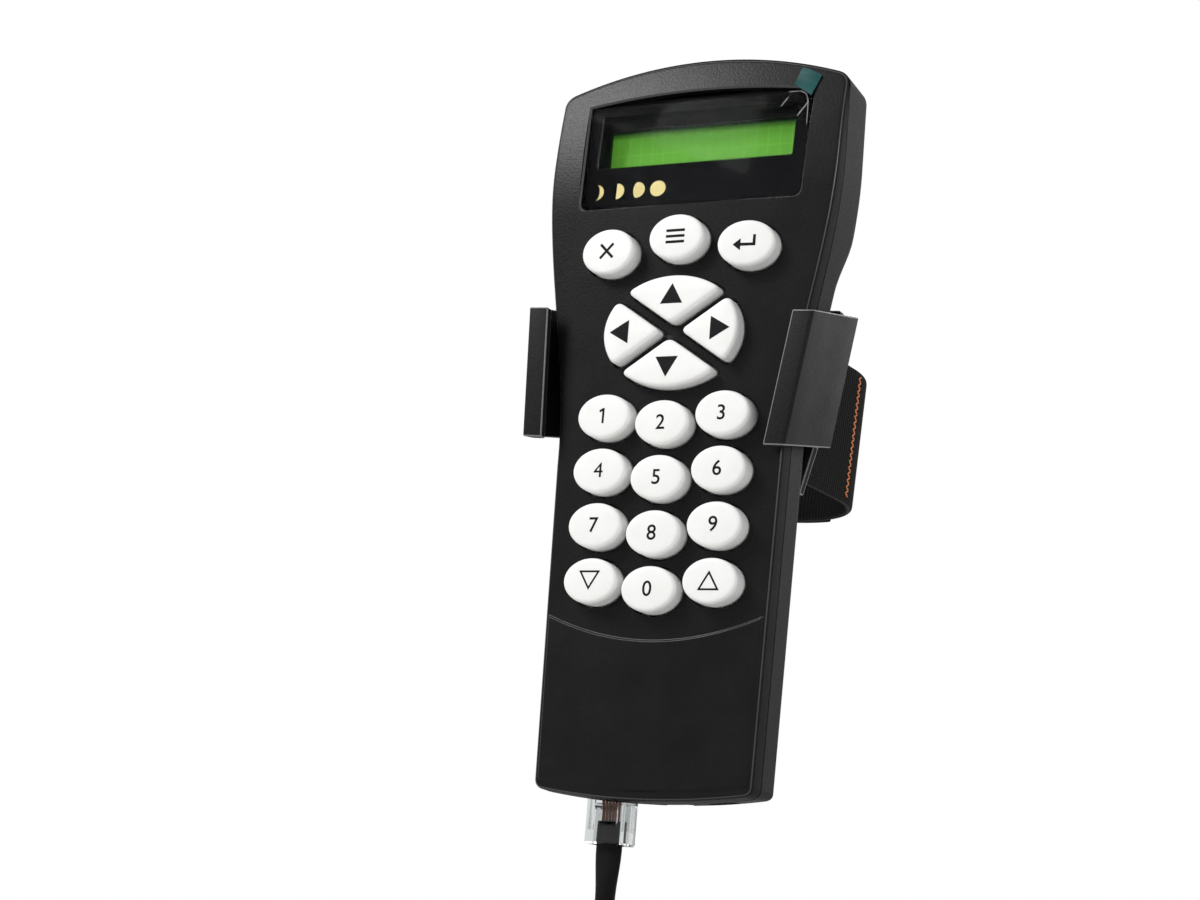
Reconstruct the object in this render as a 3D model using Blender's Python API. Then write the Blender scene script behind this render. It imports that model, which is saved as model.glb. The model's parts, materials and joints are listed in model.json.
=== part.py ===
"""Telescope hand controller held in its leg cradle, as separate named pieces.

Lengths in the constants are millimetres. Design coordinates are across (to the right as seen from
the front), up (along the controller's length, zero at the first row of number keys) and out (towards
the viewer, zero at the middle of the front face). The finished model is in metres, +Z up, with its
front facing -Y and its origin on the rear face of the cradle's back plate.
"""

import math
from functools import partial

import bmesh
import bpy
from mathutils import Vector

MM = 0.001
GAP = 0.3

# Frame
FACE_DEPTH = 22.0
CRADLE_UP = 10.0

# Housing outline
GRIP_HALF_LOW = 25.9
GRIP_HALF_TOP = 27.5
GRIP_LOW_UP = -80.0
GRIP_TOP_UP = -10.0
HEAD_HALF = 35.9
FLARE_FROM = -8.0
FLARE_TO = 62.0
TOP_UP = 86.8
TOP_RADIUS = 84.0
BOTTOM_UP = -84.8
BOTTOM_RADIUS = 133.0
TOP_CORNER = (72.5, 30.0)
BOTTOM_CORNER = (-77.5, 21.0)
SIDE_STATIONS = (-66.0, -50.0, -34.0, -18.0, -7.0, 4.0, 14.0, 24.0, 31.0, 36.0, 40.0, 44.0, 48.0, 57.0, 65.0)

# Housing sections
CROWN = 0.0012
HEAD_FALL_FROM = 50.0
HEAD_FALL_RADIUS = 140.0
PARTING = -5.3
GRIP_THICK = 17.5
HEAD_THICK = 21.5
RAMP_FROM = 32.0
RAMP_TO = 46.0
BACK_ROUND = 4.5
SIDE_DRAFT = 0.6
WALL = 2.2
SKIN = 2.4

# Step line above the blank lower end
STEP_END = (26.4, -44.6)
STEP_MIDDLE_UP = -50.4
STEP_WIDE = 0.8
STEP_DEEP = 0.6

# Keys
NUMBER_ROWS = (("1", "2", "3"), ("4", "5", "6"), ("7", "8", "9"), ("scroll_down", "0", "scroll_up"))
COLUMN_PITCH = 14.5
ROW_PITCH = 12.55
MIDDLE_DROP = 1.85
KEY_HALF = (6.6, 5.15)
HEAD_KEYS = (("back", -17.2, 39.0), ("menu", 0.0, 41.4), ("enter", 17.2, 39.0))
HEAD_KEY_HALF = (6.8, 5.4)
HEAD_KEY_LEAN = math.radians(5.0)
PAD_UP = 19.55
PAD_HALF = (16.6, 13.0)
PAD_SPLIT = math.radians(34.0)
PAD_CHANNEL = 2.1
KEY_HEIGHT = 4.0
PAD_HEIGHT = 4.45
KEY_FOOT = -4.4
KEY_FLANGE = 0.55
KEY_SIDES = 24

# Window and display
WINDOW_LOW = 51.2
WINDOW_HIGH = 76.9
WINDOW_HALF = (27.3, 27.9)
WINDOW_ARCH_UP = 79.1
WINDOW_CORNER = 2.2
LENS_OUT = -1.4
LENS_SLOPE = 0.085
LENS_THICK = 1.5
FILM_THICK = 0.25
DISPLAY_HALF = 25.2
DISPLAY_LOW = 60.0
DISPLAY_HIGH = 75.4
VIEW_LOW = 60.5
VIEW_HIGH = 73.0
TUNNEL_END = -9.0
TAB_CORNERS = ((25.1, 83.3), (29.9, 80.3), (27.6, 75.4), (23.9, 77.9))

# Case screws
SCREW_PLACES = ((-28.0, 44.0), (28.0, 44.0), (-19.6, -62.0), (19.6, -62.0))
BOSS_RADIUS = 3.4
BOSS_MEET = -7.7
PILOT_END = -4.0
SHANK_RADIUS = 1.25
HEAD_RADIUS = 2.6
HEAD_TALL = 1.8
SINK_DEEP = 2.6

# Jacks and plug
PLUG_ACROSS = -10.6
PLUG_OUT = -9.6
JACK_FRONT = -80.4
JACK_DEEP = 14.4
JACK_BODY = (13.0, 11.2)
JACKS = (("cable_jack", PLUG_ACROSS), ("data_jack", 4.0))
POWER_ACROSS = 16.2
POWER_HALF = 4.0
PLUG_SIZE = (9.65, 6.6)
PLUG_TIP = -72.6
PLUG_END = -94.6
LATCH_WIDE = 6.0
LATCH_THICK = 0.9

# Cable
CABLE_DIAMETER = 4.4
SHEATH_HALF = (3.1, 1.6)
SHEATH_TOP = -86.0
SHEATH_FLAT_TO = -95.4
SHEATH_END = -107.0
LEAD_STRAIGHT = 6.0
LEAD_BEND = 25.0
COIL_OUTER = 29.3
COIL_PITCH = 5.6
COIL_LAYER = 5.2
COIL_LAYERS = 4
COIL_CLIMB_TURNS = 0.5
COIL_START = math.radians(122.0)
COIL_END = math.radians(180.0)
COIL_TURNS = 9.0 + (COIL_END - COIL_START) / (2.0 * math.pi)
COIL_LAYER_TURNS = (COIL_TURNS - (COIL_LAYERS - 1) * COIL_CLIMB_TURNS) / COIL_LAYERS
COIL_POINTS = 24
TAIL_LONG = 20.0
FAR_PLUG_LONG = 22.0

# Cradle and strap
LEAN = math.radians(3.3)
CRADLE_CENTRE = (-1.5, 9.2)
ARM_HALF = 33.9
ARM_TAPER = 0.0997
ARM_TALL = 30.6
ARM_SWEEP = 5.5
SHEET = 2.0
LIP_FRONT = 3.9
LIP_WIDE = 5.0
PLATE_LOW = -21.0
PLATE_HIGH = 22.0
SLOT_ACROSS = 24.6
SLOT_WIDE = 2.8
STRAP_LOW = -17.0
STRAP_HIGH = 15.0
STRAP_THICK = 1.6
LEG_RADIUS = 25.4


def place(across, up, out):
    """Turn design coordinates in millimetres into the model's frame in metres."""
    return Vector((across, -(FACE_DEPTH + out), up - CRADLE_UP)) * MM


def smooth(value):
    """Smooth step from 0 to 1."""
    value = min(max(value, 0.0), 1.0)
    return value * value * (3.0 - 2.0 * value)


def material(name, colour, roughness, metallic=0.0, alpha=1.0):
    """Make a plain Principled material."""
    made = bpy.data.materials.new(name)
    made.use_nodes = True
    shader = made.node_tree.nodes["Principled BSDF"]
    shader.inputs["Base Color"].default_value = (*colour, 1.0)
    shader.inputs["Roughness"].default_value = roughness
    shader.inputs["Metallic"].default_value = metallic
    shader.inputs["Alpha"].default_value = alpha
    return made


def finish(name, bm, look):
    """Close a bmesh into a named object with its material."""
    bmesh.ops.recalc_face_normals(bm, faces=bm.faces)
    mesh = bpy.data.meshes.new(name)
    bm.to_mesh(mesh)
    bm.free()
    made = bpy.data.objects.new(name, mesh)
    bpy.context.collection.objects.link(made)
    if look is not None:
        mesh.materials.append(look)
    return made


def add_loft(bm, rings, closed=False):
    """Bridge rings of points into one closed skin, capped at both ends unless it closes on itself."""
    loops = [[bm.verts.new(point) for point in ring] for ring in rings]
    pairs = list(zip(loops, loops[1:]))
    if closed:
        pairs.append((loops[-1], loops[0]))
    for lower, upper in pairs:
        for index in range(len(lower)):
            after = (index + 1) % len(lower)
            bm.faces.new((lower[index], lower[after], upper[after], upper[index]))
    if not closed:
        bm.faces.new(loops[0])
        bm.faces.new(loops[-1])


def loft(name, rings, look, closed=False):
    """Make a lofted object."""
    bm = bmesh.new()
    add_loft(bm, rings, closed)
    return finish(name, bm, look)


def raised(outline, out):
    """Lift a flat outline to one height."""
    return [place(across, up, out) for across, up in outline]


def prism(name, outline, low, high, look):
    """Extrude a flat outline between two heights."""
    return loft(name, (raised(outline, low), raised(outline, high)), look)


def rectangle(across, up, wide, tall):
    """Corners of a rectangle about its centre."""
    half = wide / 2.0
    rise = tall / 2.0
    return [(across - half, up - rise), (across + half, up - rise),
            (across + half, up + rise), (across - half, up + rise)]


def oval(across, up, half, sides=KEY_SIDES):
    """Points of an ellipse."""
    turns = [2.0 * math.pi * index / sides for index in range(sides)]
    return [(across + half[0] * math.cos(turn), up + half[1] * math.sin(turn)) for turn in turns]


def soft_corner(before, corner, after, steps=4):
    """Points of a rounded corner between two tangent points."""
    points = []
    for index in range(steps + 1):
        share = index / steps
        keep = 1.0 - share
        points.append(tuple(keep * keep * a + 2.0 * keep * share * b + share * share * c
                            for a, b, c in zip(before, corner, after)))
    return points


def round_polygon(corners, reach, steps=3):
    """Round every corner of a polygon, starting each curve at a distance from the corner."""
    points = []
    count = len(corners)
    for index, corner in enumerate(corners):
        here = Vector(corner)
        back = Vector(corners[index - 1]) - here
        ahead = Vector(corners[(index + 1) % count]) - here
        start = here + back.normalized() * reach
        points += soft_corner(start, here, here + ahead.normalized() * reach, steps)
    return points


def inset(outline, distance):
    """Move a closed outline inwards, given anticlockwise points."""
    moved = []
    count = len(outline)
    for index, point in enumerate(outline):
        before = Vector(outline[index - 1])
        here = Vector(point)
        after = Vector(outline[(index + 1) % count])
        first = (here - before).normalized()
        second = (after - here).normalized()
        normal = Vector((-first.y - second.y, first.x + second.x))
        normal = normal.normalized()
        reach = distance / max(normal.dot(Vector((-first.y, first.x))), 0.5)
        moved.append((here.x + normal.x * reach, here.y + normal.y * reach))
    return moved


def cut(target, tool, operation="DIFFERENCE"):
    """Cut or join with a hidden tool object."""
    tool.hide_render = True
    tool.display_type = "WIRE"
    change = target.modifiers.new(tool.name, "BOOLEAN")
    change.operation = operation
    change.solver = "EXACT"
    change.object = tool


def half_width(up):
    """Half the housing's width at a height."""
    grip = smooth_line(up)
    flare = smooth((up - FLARE_FROM) / (FLARE_TO - FLARE_FROM))
    return grip + (HEAD_HALF - GRIP_HALF_TOP) * flare


def smooth_line(up):
    """Half the grip's width, which grows evenly to its top."""
    share = (min(up, GRIP_TOP_UP) - GRIP_LOW_UP) / (GRIP_TOP_UP - GRIP_LOW_UP)
    return GRIP_HALF_LOW + (GRIP_HALF_TOP - GRIP_HALF_LOW) * share


def top_edge(across):
    """Height of the arched top."""
    return TOP_UP - TOP_RADIUS + math.sqrt(TOP_RADIUS ** 2 - across ** 2)


def bottom_edge(across):
    """Height of the curved lower end."""
    return BOTTOM_UP + BOTTOM_RADIUS - math.sqrt(BOTTOM_RADIUS ** 2 - across ** 2)


def housing_outline(draw=0.0):
    """Anticlockwise outline of the housing as seen from the front, drawn in by a distance."""
    low_half = half_width(BOTTOM_CORNER[0]) - draw
    low_corner = (low_half, bottom_edge(low_half) + draw)
    low_across = min(BOTTOM_CORNER[1], low_half - 0.8)
    low_up = max(BOTTOM_CORNER[0], low_corner[1] + 0.8)
    high_half = HEAD_HALF - draw
    high_corner = (high_half, top_edge(high_half) - draw)
    high_across = min(TOP_CORNER[1], high_half - 0.8)
    high_up = min(TOP_CORNER[0], high_corner[1] - 0.8)
    right = [(across, bottom_edge(across) + draw) for across in (7.0, 14.0)]
    right += soft_corner((low_across, bottom_edge(low_across) + draw), low_corner, (low_half, low_up), 5)
    right += [(half_width(up) - draw, up) for up in SIDE_STATIONS]
    right += soft_corner((high_half, high_up), high_corner, (high_across, top_edge(high_across) - draw))
    right += [(across, top_edge(across) - draw) for across in (20.0, 10.0)]
    left = [(-across, up) for across, up in reversed(right)]
    return [(0.0, BOTTOM_UP + draw)] + right + [(0.0, TOP_UP - draw)] + left


def face_out(across, up):
    """Height of the crowned front face, which falls away towards the head's top."""
    fall = max(0.0, up - HEAD_FALL_FROM) ** 2 / (2.0 * HEAD_FALL_RADIUS)
    return -CROWN * across * across - fall


def back_out(up):
    """Height of the rear face, deeper behind the head."""
    ramp = smooth((up - RAMP_FROM) / (RAMP_TO - RAMP_FROM))
    return -(GRIP_THICK + (HEAD_THICK - GRIP_THICK) * ramp)


def face_rings(draw, drop):
    """Rings of the front skin's rolled edge in design coordinates, drawn in and lowered."""
    rings = []
    for distance, below in ((0.35, 1.4), (0.65, 0.5), (1.6, 0.0)):
        ring = housing_outline(draw + distance)
        rings.append([(across, up, face_out(across, up) - below - drop) for across, up in ring])
    return rings


def back_rings(draw, lift):
    """Rings of the rear skin's rolled edge in design coordinates, drawn in and raised."""
    rings = []
    radius = BACK_ROUND - lift
    for degrees in (0.0, 30.0, 60.0, 90.0):
        turn = math.radians(degrees)
        ring = housing_outline(draw + SIDE_DRAFT + radius * (1.0 - math.cos(turn)))
        rise = radius * (1.0 - math.sin(turn)) + lift
        rings.append([(across, up, back_out(up) + rise) for across, up in ring])
    return rings


def dome(name, rim, out, rings, height, look):
    """Skin that starts at a flat rim, follows rings and is closed by rows across the last ring."""
    bm = bmesh.new()
    rings = [[(across, up, out) for across, up in rim]] + rings
    loops = [[bm.verts.new(place(*point)) for point in ring] for ring in rings]
    half = len(rim) // 2
    rows = []
    for index in range(1, half):
        across, up, edge = rings[-1][index]
        inside = [bm.verts.new(place(across * share, up, height(across * share, up)))
                  for share in (0.5, 0.0, -0.5)]
        rows.append([loops[-1][index]] + inside + [loops[-1][-index]])
    for lower, upper in zip(rows, rows[1:]):
        for index in range(4):
            bm.faces.new((lower[index], lower[index + 1], upper[index + 1], upper[index]))
    for tip, row in ((loops[-1][0], rows[0]), (loops[-1][half], rows[-1])):
        for index in range(4):
            bm.faces.new((tip, row[index], row[index + 1]))
    for lower, upper in zip(loops, loops[1:]):
        for index in range(len(lower)):
            after = (index + 1) % len(lower)
            bm.faces.new((lower[index], lower[after], upper[after], upper[index]))
    bm.faces.new(loops[0])
    return finish(name, bm, look)


def lens_out(up, below=0.0):
    """Height of the window's front plane, or of a plane below it."""
    return LENS_OUT - LENS_SLOPE * (up - WINDOW_LOW) - below


def lens_outline(grow=0.0):
    """Window with square-cut top and rounded lower corners."""
    low, high = WINDOW_HALF
    corners = ((-low - grow, WINDOW_LOW - grow), (low + grow, WINDOW_LOW - grow),
               (high + grow, WINDOW_HIGH + grow), (-high - grow, WINDOW_HIGH + grow))
    return round_polygon(corners, WINDOW_CORNER)


def pocket_outline():
    """Window pocket, whose top edge is arched above the window."""
    low, high = WINDOW_HALF[0] + GAP, WINDOW_HALF[1] + GAP
    floor = WINDOW_LOW - GAP
    shoulder = WINDOW_HIGH + GAP
    points = soft_corner((-low, floor + WINDOW_CORNER), (-low, floor), (-low + WINDOW_CORNER, floor))
    points += soft_corner((low - WINDOW_CORNER, floor), (low, floor), (low, floor + WINDOW_CORNER))
    arch = WINDOW_ARCH_UP - shoulder
    for index in range(9):
        across = high * (1.0 - index / 4.0)
        points.append((across, shoulder + arch * (1.0 - (across / high) ** 2)))
    return points


def plane_prism(name, outline, below_low, below_high, look):
    """Extrude an outline between two planes parallel to the window."""
    low = [place(across, up, lens_out(up, below_low)) for across, up in outline]
    high = [place(across, up, lens_out(up, below_high)) for across, up in outline]
    return loft(name, (low, high), look)


def number_keys():
    """Name and centre of each number and scroll key."""
    for row, labels in enumerate(NUMBER_ROWS):
        for column, label in enumerate(labels):
            across = (column - 1) * COLUMN_PITCH
            drop = MIDDLE_DROP if column == 1 else 0.0
            yield label, across, -row * ROW_PITCH - drop


def oval_shape(across, up, half, shrink):
    """Oval key outline, drawn in by a distance."""
    return oval(across, up, (half[0] - shrink, half[1] - shrink))


def pad_quarter(middle, spread, shrink):
    """Rounded quarter of the arrow pad between two diagonal channels, drawn in by a distance.

    The quarter is centred on a direction and reaches a spread to each side of it.
    """
    half = (PAD_HALF[0] - shrink, PAD_HALF[1] - shrink)
    tip = (PAD_CHANNEL / 2.0 + shrink) / math.sin(spread)
    centre = Vector((math.cos(middle), math.sin(middle))) * tip
    first, last = (oval_hit(centre, middle + side * spread, half) for side in (-1.0, 1.0))
    if last < first:
        last += 2.0 * math.pi
    trim = 0.10
    turns = [first + trim + (last - first - 2.0 * trim) * index / 8 for index in range(9)]
    arc = [oval_point(turn, half) for turn in turns]
    start = oval_point(first, half)
    stop = oval_point(last, half)
    reach = max(1.7 - 0.4 * shrink, 0.5)
    points = soft_corner(centre + (stop - centre).normalized() * reach, centre,
                         centre + (start - centre).normalized() * reach, 3)
    points += soft_corner(start + (centre - start).normalized() * reach, start, arc[0], 2)
    points += [tuple(point) for point in arc[1:-1]]
    points += soft_corner(arc[-1], stop, stop + (centre - stop).normalized() * reach, 2)
    return [(across, PAD_UP + up) for across, up in points]


def oval_point(turn, half):
    """Point on an oval about the origin."""
    return Vector((half[0] * math.cos(turn), half[1] * math.sin(turn)))


def oval_hit(start, bearing, half):
    """Turn on an oval where a ray from a point inside it leaves."""
    ray_x = math.cos(bearing) / half[0]
    ray_y = math.sin(bearing) / half[1]
    start_x = start.x / half[0]
    start_y = start.y / half[1]
    square = ray_x * ray_x + ray_y * ray_y
    across = start_x * ray_x + start_y * ray_y
    inside = start_x * start_x + start_y * start_y - 1.0
    reach = (-across + math.sqrt(across * across - square * inside)) / square
    return math.atan2(start_y + reach * ray_y, start_x + reach * ray_x)


def pad_keys():
    """Name and shape of each arrow key."""
    quarter = math.pi / 2.0
    yield "right", partial(pad_quarter, 0.0, PAD_SPLIT)
    yield "up", partial(pad_quarter, quarter, quarter - PAD_SPLIT)
    yield "left", partial(pad_quarter, 2.0 * quarter, PAD_SPLIT)
    yield "down", partial(pad_quarter, 3.0 * quarter, quarter - PAD_SPLIT)


def all_keys():
    """Name, shape, centre and lean of every key."""
    for label, across, up in HEAD_KEYS:
        lean = math.copysign(math.tan(HEAD_KEY_LEAN), across) if across else 0.0
        yield label, partial(oval_shape, across, up, HEAD_KEY_HALF), (across, up), lean
    for label, shape in pad_keys():
        yield label, shape, (0.0, PAD_UP), 0.0
    for label, across, up in number_keys():
        yield label, partial(oval_shape, across, up, KEY_HALF), (across, up), 0.0


def key_cap(label, shape, centre, lean, look):
    """Rubber key with a flange under the skin, straight sides and a domed top."""
    base = face_out(*centre)
    top = PAD_HEIGHT if shape.func is pad_quarter else KEY_HEIGHT
    stages = ((-KEY_FLANGE, KEY_FOOT), (-KEY_FLANGE, KEY_FOOT + 1.1), (0.0, KEY_FOOT + 1.1),
              (0.0, top - 1.7), (0.55, top - 0.7), (1.6, top - 0.15), (3.2, top))
    rings = []
    for distance, out in stages:
        slope = lean if out > 0.0 else 0.0
        rings.append([place(across, up, base + out - slope * (across - centre[0]))
                      for across, up in shape(distance)])
    return loft("key_" + label, rings, look)


def front_shell(look):
    """Front housing: crowned skin, window seat, display tunnel, bosses and key openings."""
    shell = dome("front_shell", housing_outline(), PARTING, face_rings(0.0, 0.0), face_out, look)
    cut(shell, dome("front_hollow", housing_outline(WALL), PARTING - 1.0, face_rings(WALL, SKIN),
                    lambda across, up: face_out(across, up) - SKIN, None))
    seat = lens_outline(1.6)
    cut(shell, plane_prism("window_seat", seat, 3.3, 0.2, None), "UNION")
    middle_up = (DISPLAY_LOW + DISPLAY_HIGH) / 2.0
    wall = rectangle(0.0, middle_up, 2.0 * DISPLAY_HALF + 3.4, DISPLAY_HIGH - DISPLAY_LOW + 3.4)
    cut(shell, prism("display_tunnel", wall, TUNNEL_END, lens_out(middle_up, 2.5), None), "UNION")
    posts = bmesh.new()
    for across, up in SCREW_PLACES:
        ring = oval(across, up, (BOSS_RADIUS, BOSS_RADIUS), 16)
        top = face_out(across, up) - 1.0
        add_loft(posts, (raised(ring, BOSS_MEET + GAP), raised(ring, top)))
    cut(shell, finish("front_posts", posts, None), "UNION")
    cut(shell, plane_prism("window_pocket", pocket_outline(), LENS_THICK + GAP, -6.0, None))
    cut(shell, front_openings())
    return shell


def front_openings():
    """One tool with every straight opening of the front shell."""
    bm = bmesh.new()
    for label, shape, centre, lean in all_keys():
        hole = shape(-GAP)
        add_loft(bm, (raised(hole, KEY_FOOT - 2.0), raised(hole, 6.0)))
    view = rectangle(0.0, (DISPLAY_LOW + DISPLAY_HIGH) / 2.0, 2.0 * DISPLAY_HALF, DISPLAY_HIGH - DISPLAY_LOW)
    add_loft(bm, (raised(view, TUNNEL_END - 1.0), raised(view, 4.0)))
    for across, up in SCREW_PLACES:
        pilot = oval(across, up, (SHANK_RADIUS + GAP, SHANK_RADIUS + GAP), 12)
        add_loft(bm, (raised(pilot, BOSS_MEET - 1.0), raised(pilot, PILOT_END)))
    rings = []
    sag = STEP_END[1] - STEP_MIDDLE_UP
    half = STEP_WIDE / 2.0
    for index in range(13):
        across = STEP_END[0] * 1.06 * (index / 6.0 - 1.0)
        up = STEP_MIDDLE_UP + sag * (across / STEP_END[0]) ** 2
        floor = face_out(across, up) - STEP_DEEP
        rings.append((place(across, up - half, floor), place(across, up + half, floor),
                      place(across, up + half, 3.0), place(across, up - half, 3.0)))
    add_loft(bm, rings)
    return finish("front_opening_tool", bm, None)


def rear_shell(look):
    """Rear housing: deep tub with screw posts and openings for the jacks."""
    shell = dome("rear_shell", housing_outline(), PARTING - GAP, back_rings(0.0, 0.0),
                 lambda across, up: back_out(up), look)
    cut(shell, dome("rear_hollow", housing_outline(WALL), PARTING + 1.0, back_rings(WALL, WALL),
                    lambda across, up: back_out(up) + WALL, None))
    cut(shell, jack_bay())
    posts = bmesh.new()
    for across, up in SCREW_PLACES:
        ring = oval(across, up, (BOSS_RADIUS, BOSS_RADIUS), 16)
        add_loft(posts, (raised(ring, back_out(up) + 1.0), raised(ring, BOSS_MEET)))
    cut(shell, finish("rear_posts", posts, None), "UNION")
    cut(shell, rear_openings())
    return shell


def screw_seat(up):
    """Height of the face that a screw's head sits on."""
    return back_out(up) + SINK_DEEP


def rear_openings():
    """One tool with the screw holes and the jack openings of the rear shell."""
    bm = bmesh.new()
    for across, up in SCREW_PLACES:
        hole = oval(across, up, (SHANK_RADIUS + GAP, SHANK_RADIUS + GAP), 12)
        sink = oval(across, up, (HEAD_RADIUS + GAP, HEAD_RADIUS + GAP), 12)
        add_loft(bm, (raised(sink, back_out(up) - 3.0), raised(sink, screw_seat(up)),
                      raised(hole, screw_seat(up)), raised(hole, BOSS_MEET + 1.0)))
    for name, across in JACKS:
        add_mouth(bm, across)
    ring = round_mouth(3.6)
    add_loft(bm, (ring_along(ring, BOTTOM_UP - 2.0), ring_along(ring, JACK_FRONT - 0.1)))
    return finish("rear_opening_tool", bm, None)


def jack_bay():
    """Tool that clears the rounded inner corner of the rear shell behind the jacks."""
    low = JACKS[0][1] - JACK_BODY[0] / 2.0 - GAP
    high = POWER_ACROSS + POWER_HALF + GAP
    floor = PLUG_OUT + 5.7 - JACK_BODY[1] - GAP
    bay = [(low, floor), (high, floor), (high, PARTING), (low, PARTING)]
    return loft("jack_bay", (ring_along(bay, JACK_FRONT - GAP), ring_along(bay, JACK_FRONT + 7.0)), None)


def round_mouth(radius):
    """Round section of the power jack's mouth, across and out."""
    return oval(POWER_ACROSS, PLUG_OUT, (radius, radius), 16)


def ring_along(section, up):
    """Section given across and out, set square to the controller's length."""
    return [place(across, up, out) for across, out in section]


def plug_section(across, grow):
    """Plug section with the keyway that its latch runs in, across and out."""
    wide = PLUG_SIZE[0] / 2.0 + grow
    front = PLUG_OUT + PLUG_SIZE[1] / 2.0 + grow
    rear = PLUG_OUT - PLUG_SIZE[1] / 2.0 - grow
    key = LATCH_WIDE / 2.0 + grow
    key_rear = rear - LATCH_THICK - 0.7
    return [(across - wide, front), (across - wide, rear), (across - key, rear), (across - key, key_rear),
            (across + key, key_rear), (across + key, rear), (across + wide, rear), (across + wide, front)]


def add_mouth(bm, across):
    """Add the opening through the lower wall in front of a modular jack."""
    section = plug_section(across, GAP + 0.05)
    add_loft(bm, (ring_along(section, BOTTOM_UP - 2.0), ring_along(section, JACK_FRONT - 0.1)))


def modular_jack(name, across, look):
    """Jack body with a keyed cavity for a plug."""
    half = JACK_BODY[0] / 2.0
    front = PLUG_OUT + 5.7
    rear = PLUG_OUT + 5.7 - JACK_BODY[1]
    body = [(across - half, front), (across - half, rear), (across + half, rear), (across + half, front)]
    jack = loft(name, (ring_along(body, JACK_FRONT), ring_along(body, JACK_FRONT + JACK_DEEP)), look)
    section = plug_section(across, GAP)
    cavity = (ring_along(section, JACK_FRONT - 2.0), ring_along(section, PLUG_TIP + 0.4))
    cut(jack, loft(name + "_cavity", cavity, None))
    return jack


def power_jack(look):
    """Barrel jack with a round mouth and a centre pin."""
    low, high = POWER_ACROSS - POWER_HALF, POWER_ACROSS + POWER_HALF
    body = [(low, -4.4), (low, -14.7), (high, -14.7), (high, -4.4)]
    jack = loft("power_jack", (ring_along(body, JACK_FRONT), ring_along(body, JACK_FRONT + 13.0)), look)
    bore = (ring_along(round_mouth(3.1), JACK_FRONT - 2.0), ring_along(round_mouth(3.1), JACK_FRONT + 9.5))
    cut(jack, loft("power_bore", bore, None))
    pin = (ring_along(round_mouth(1.05), JACK_FRONT + 1.0), ring_along(round_mouth(1.05), JACK_FRONT + 10.5))
    cut(jack, loft("power_pin", pin, None), "UNION")
    return jack


def modular_plug(name, across, out, tip, end, held, look):
    """Clear plug with a sprung latch on its rear face and a socket for the held cable's half sizes."""
    along = 1.0 if tip > end else -1.0
    wide = PLUG_SIZE[0] / 2.0
    deep = PLUG_SIZE[1] / 2.0

    def section(half, front, rear, up):
        corners = ((across - half, out + rear), (across + half, out + rear),
                   (across + half, out + front), (across - half, out + front))
        return ring_along(round_polygon(corners, 0.5, 1), up)

    plug = loft(name, (section(wide, deep, -deep, end), section(wide, deep, -deep, tip - along * 1.0),
                       section(wide - 0.6, deep - 0.6, 0.6 - deep, tip)), look)
    grip = [section(held[0] + GAP, held[1] + GAP, -held[1] - GAP, up)
            for up in (end - along * 2.0, end + along * 9.0)]
    cut(plug, loft(name + "_socket", grip, None))
    half = LATCH_WIDE / 2.0
    root = -deep + 0.3
    stages = ((tip - along * 2.2, root, -deep - 0.5), (tip - along * 4.0, root - 0.5, -deep - 1.2),
              (tip - along * 6.0, -deep - 0.35, -deep - 0.35 - LATCH_THICK),
              (tip - along * 18.5, -deep - 0.55, -deep - 0.55 - LATCH_THICK))
    rings = []
    for up, front, rear in stages:
        low, high = across - half, across + half
        corners = ((low, out + rear), (high, out + rear), (high, out + front), (low, out + front))
        rings.append(ring_along(corners, up))
    cut(plug, loft(name + "_latch", rings, None), "UNION")
    return plug


def window_pieces(clear, thin, tab):
    """Display window, its protective film and the film's pull tab."""
    plane_prism("display_window", lens_outline(), LENS_THICK, 0.0, clear)
    plane_prism("window_film", lens_outline(-0.5), -GAP, -GAP - FILM_THICK, thin)
    rings = []
    for lift in (GAP, GAP + FILM_THICK):
        rings.append([place(across, up, face_out(across, up) + lift) for across, up in TAB_CORNERS])
    loft("film_tab", rings, tab)


def display_pieces(metal, glass, board, black):
    """Display bezel, glass, board and the pin strip to the main board."""
    middle = (DISPLAY_LOW + DISPLAY_HIGH) / 2.0
    tall = DISPLAY_HIGH - DISPLAY_LOW
    frame = prism("display_bezel", rectangle(0.0, middle, 57.0, tall + 5.0), -10.4, TUNNEL_END - GAP, metal)
    view = rectangle(0.0, (VIEW_LOW + VIEW_HIGH) / 2.0, 2.0 * DISPLAY_HALF, VIEW_HIGH - VIEW_LOW)
    cut(frame, prism("bezel_view", view, -12.0, -8.0, None))
    prism("display_glass", rectangle(0.0, middle, 56.0, tall + 4.0), -13.1, -10.4 - GAP, glass)
    prism("display_board", rectangle(0.0, 62.9, 58.0, 28.6), -15.0, -13.4, board)
    prism("pin_strip", rectangle(0.0, 50.2, 30.0, 2.4), -13.1, -9.4, black)


def board_pieces(board, black, rubber):
    """Keypad mat, main board and processor."""
    prism("keypad_mat", round_polygon(rectangle(0.0, 0.5, 46.0, 92.0), 3.0), -7.1, -6.1, rubber)
    prism("main_board", rectangle(0.0, -2.7, 45.0, 109.0), -9.1, -7.5, board)
    prism("processor_chip", rectangle(0.0, 6.0, 14.0, 14.0), -11.0, -9.4, black)


def case_screw(name, across, up, steel):
    """Pan-head screw from the back into the front shell's post."""
    seat = screw_seat(up) - GAP
    head = oval(across, up, (HEAD_RADIUS, HEAD_RADIUS), 16)
    crown = oval(across, up, (HEAD_RADIUS * 0.7, HEAD_RADIUS * 0.7), 16)
    shank = oval(across, up, (SHANK_RADIUS, SHANK_RADIUS), 16)
    rings = (raised(crown, seat - HEAD_TALL), raised(head, seat - HEAD_TALL * 0.6), raised(head, seat),
             raised(shank, seat), raised(shank, PILOT_END - GAP))
    return loft(name, rings, steel)


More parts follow.
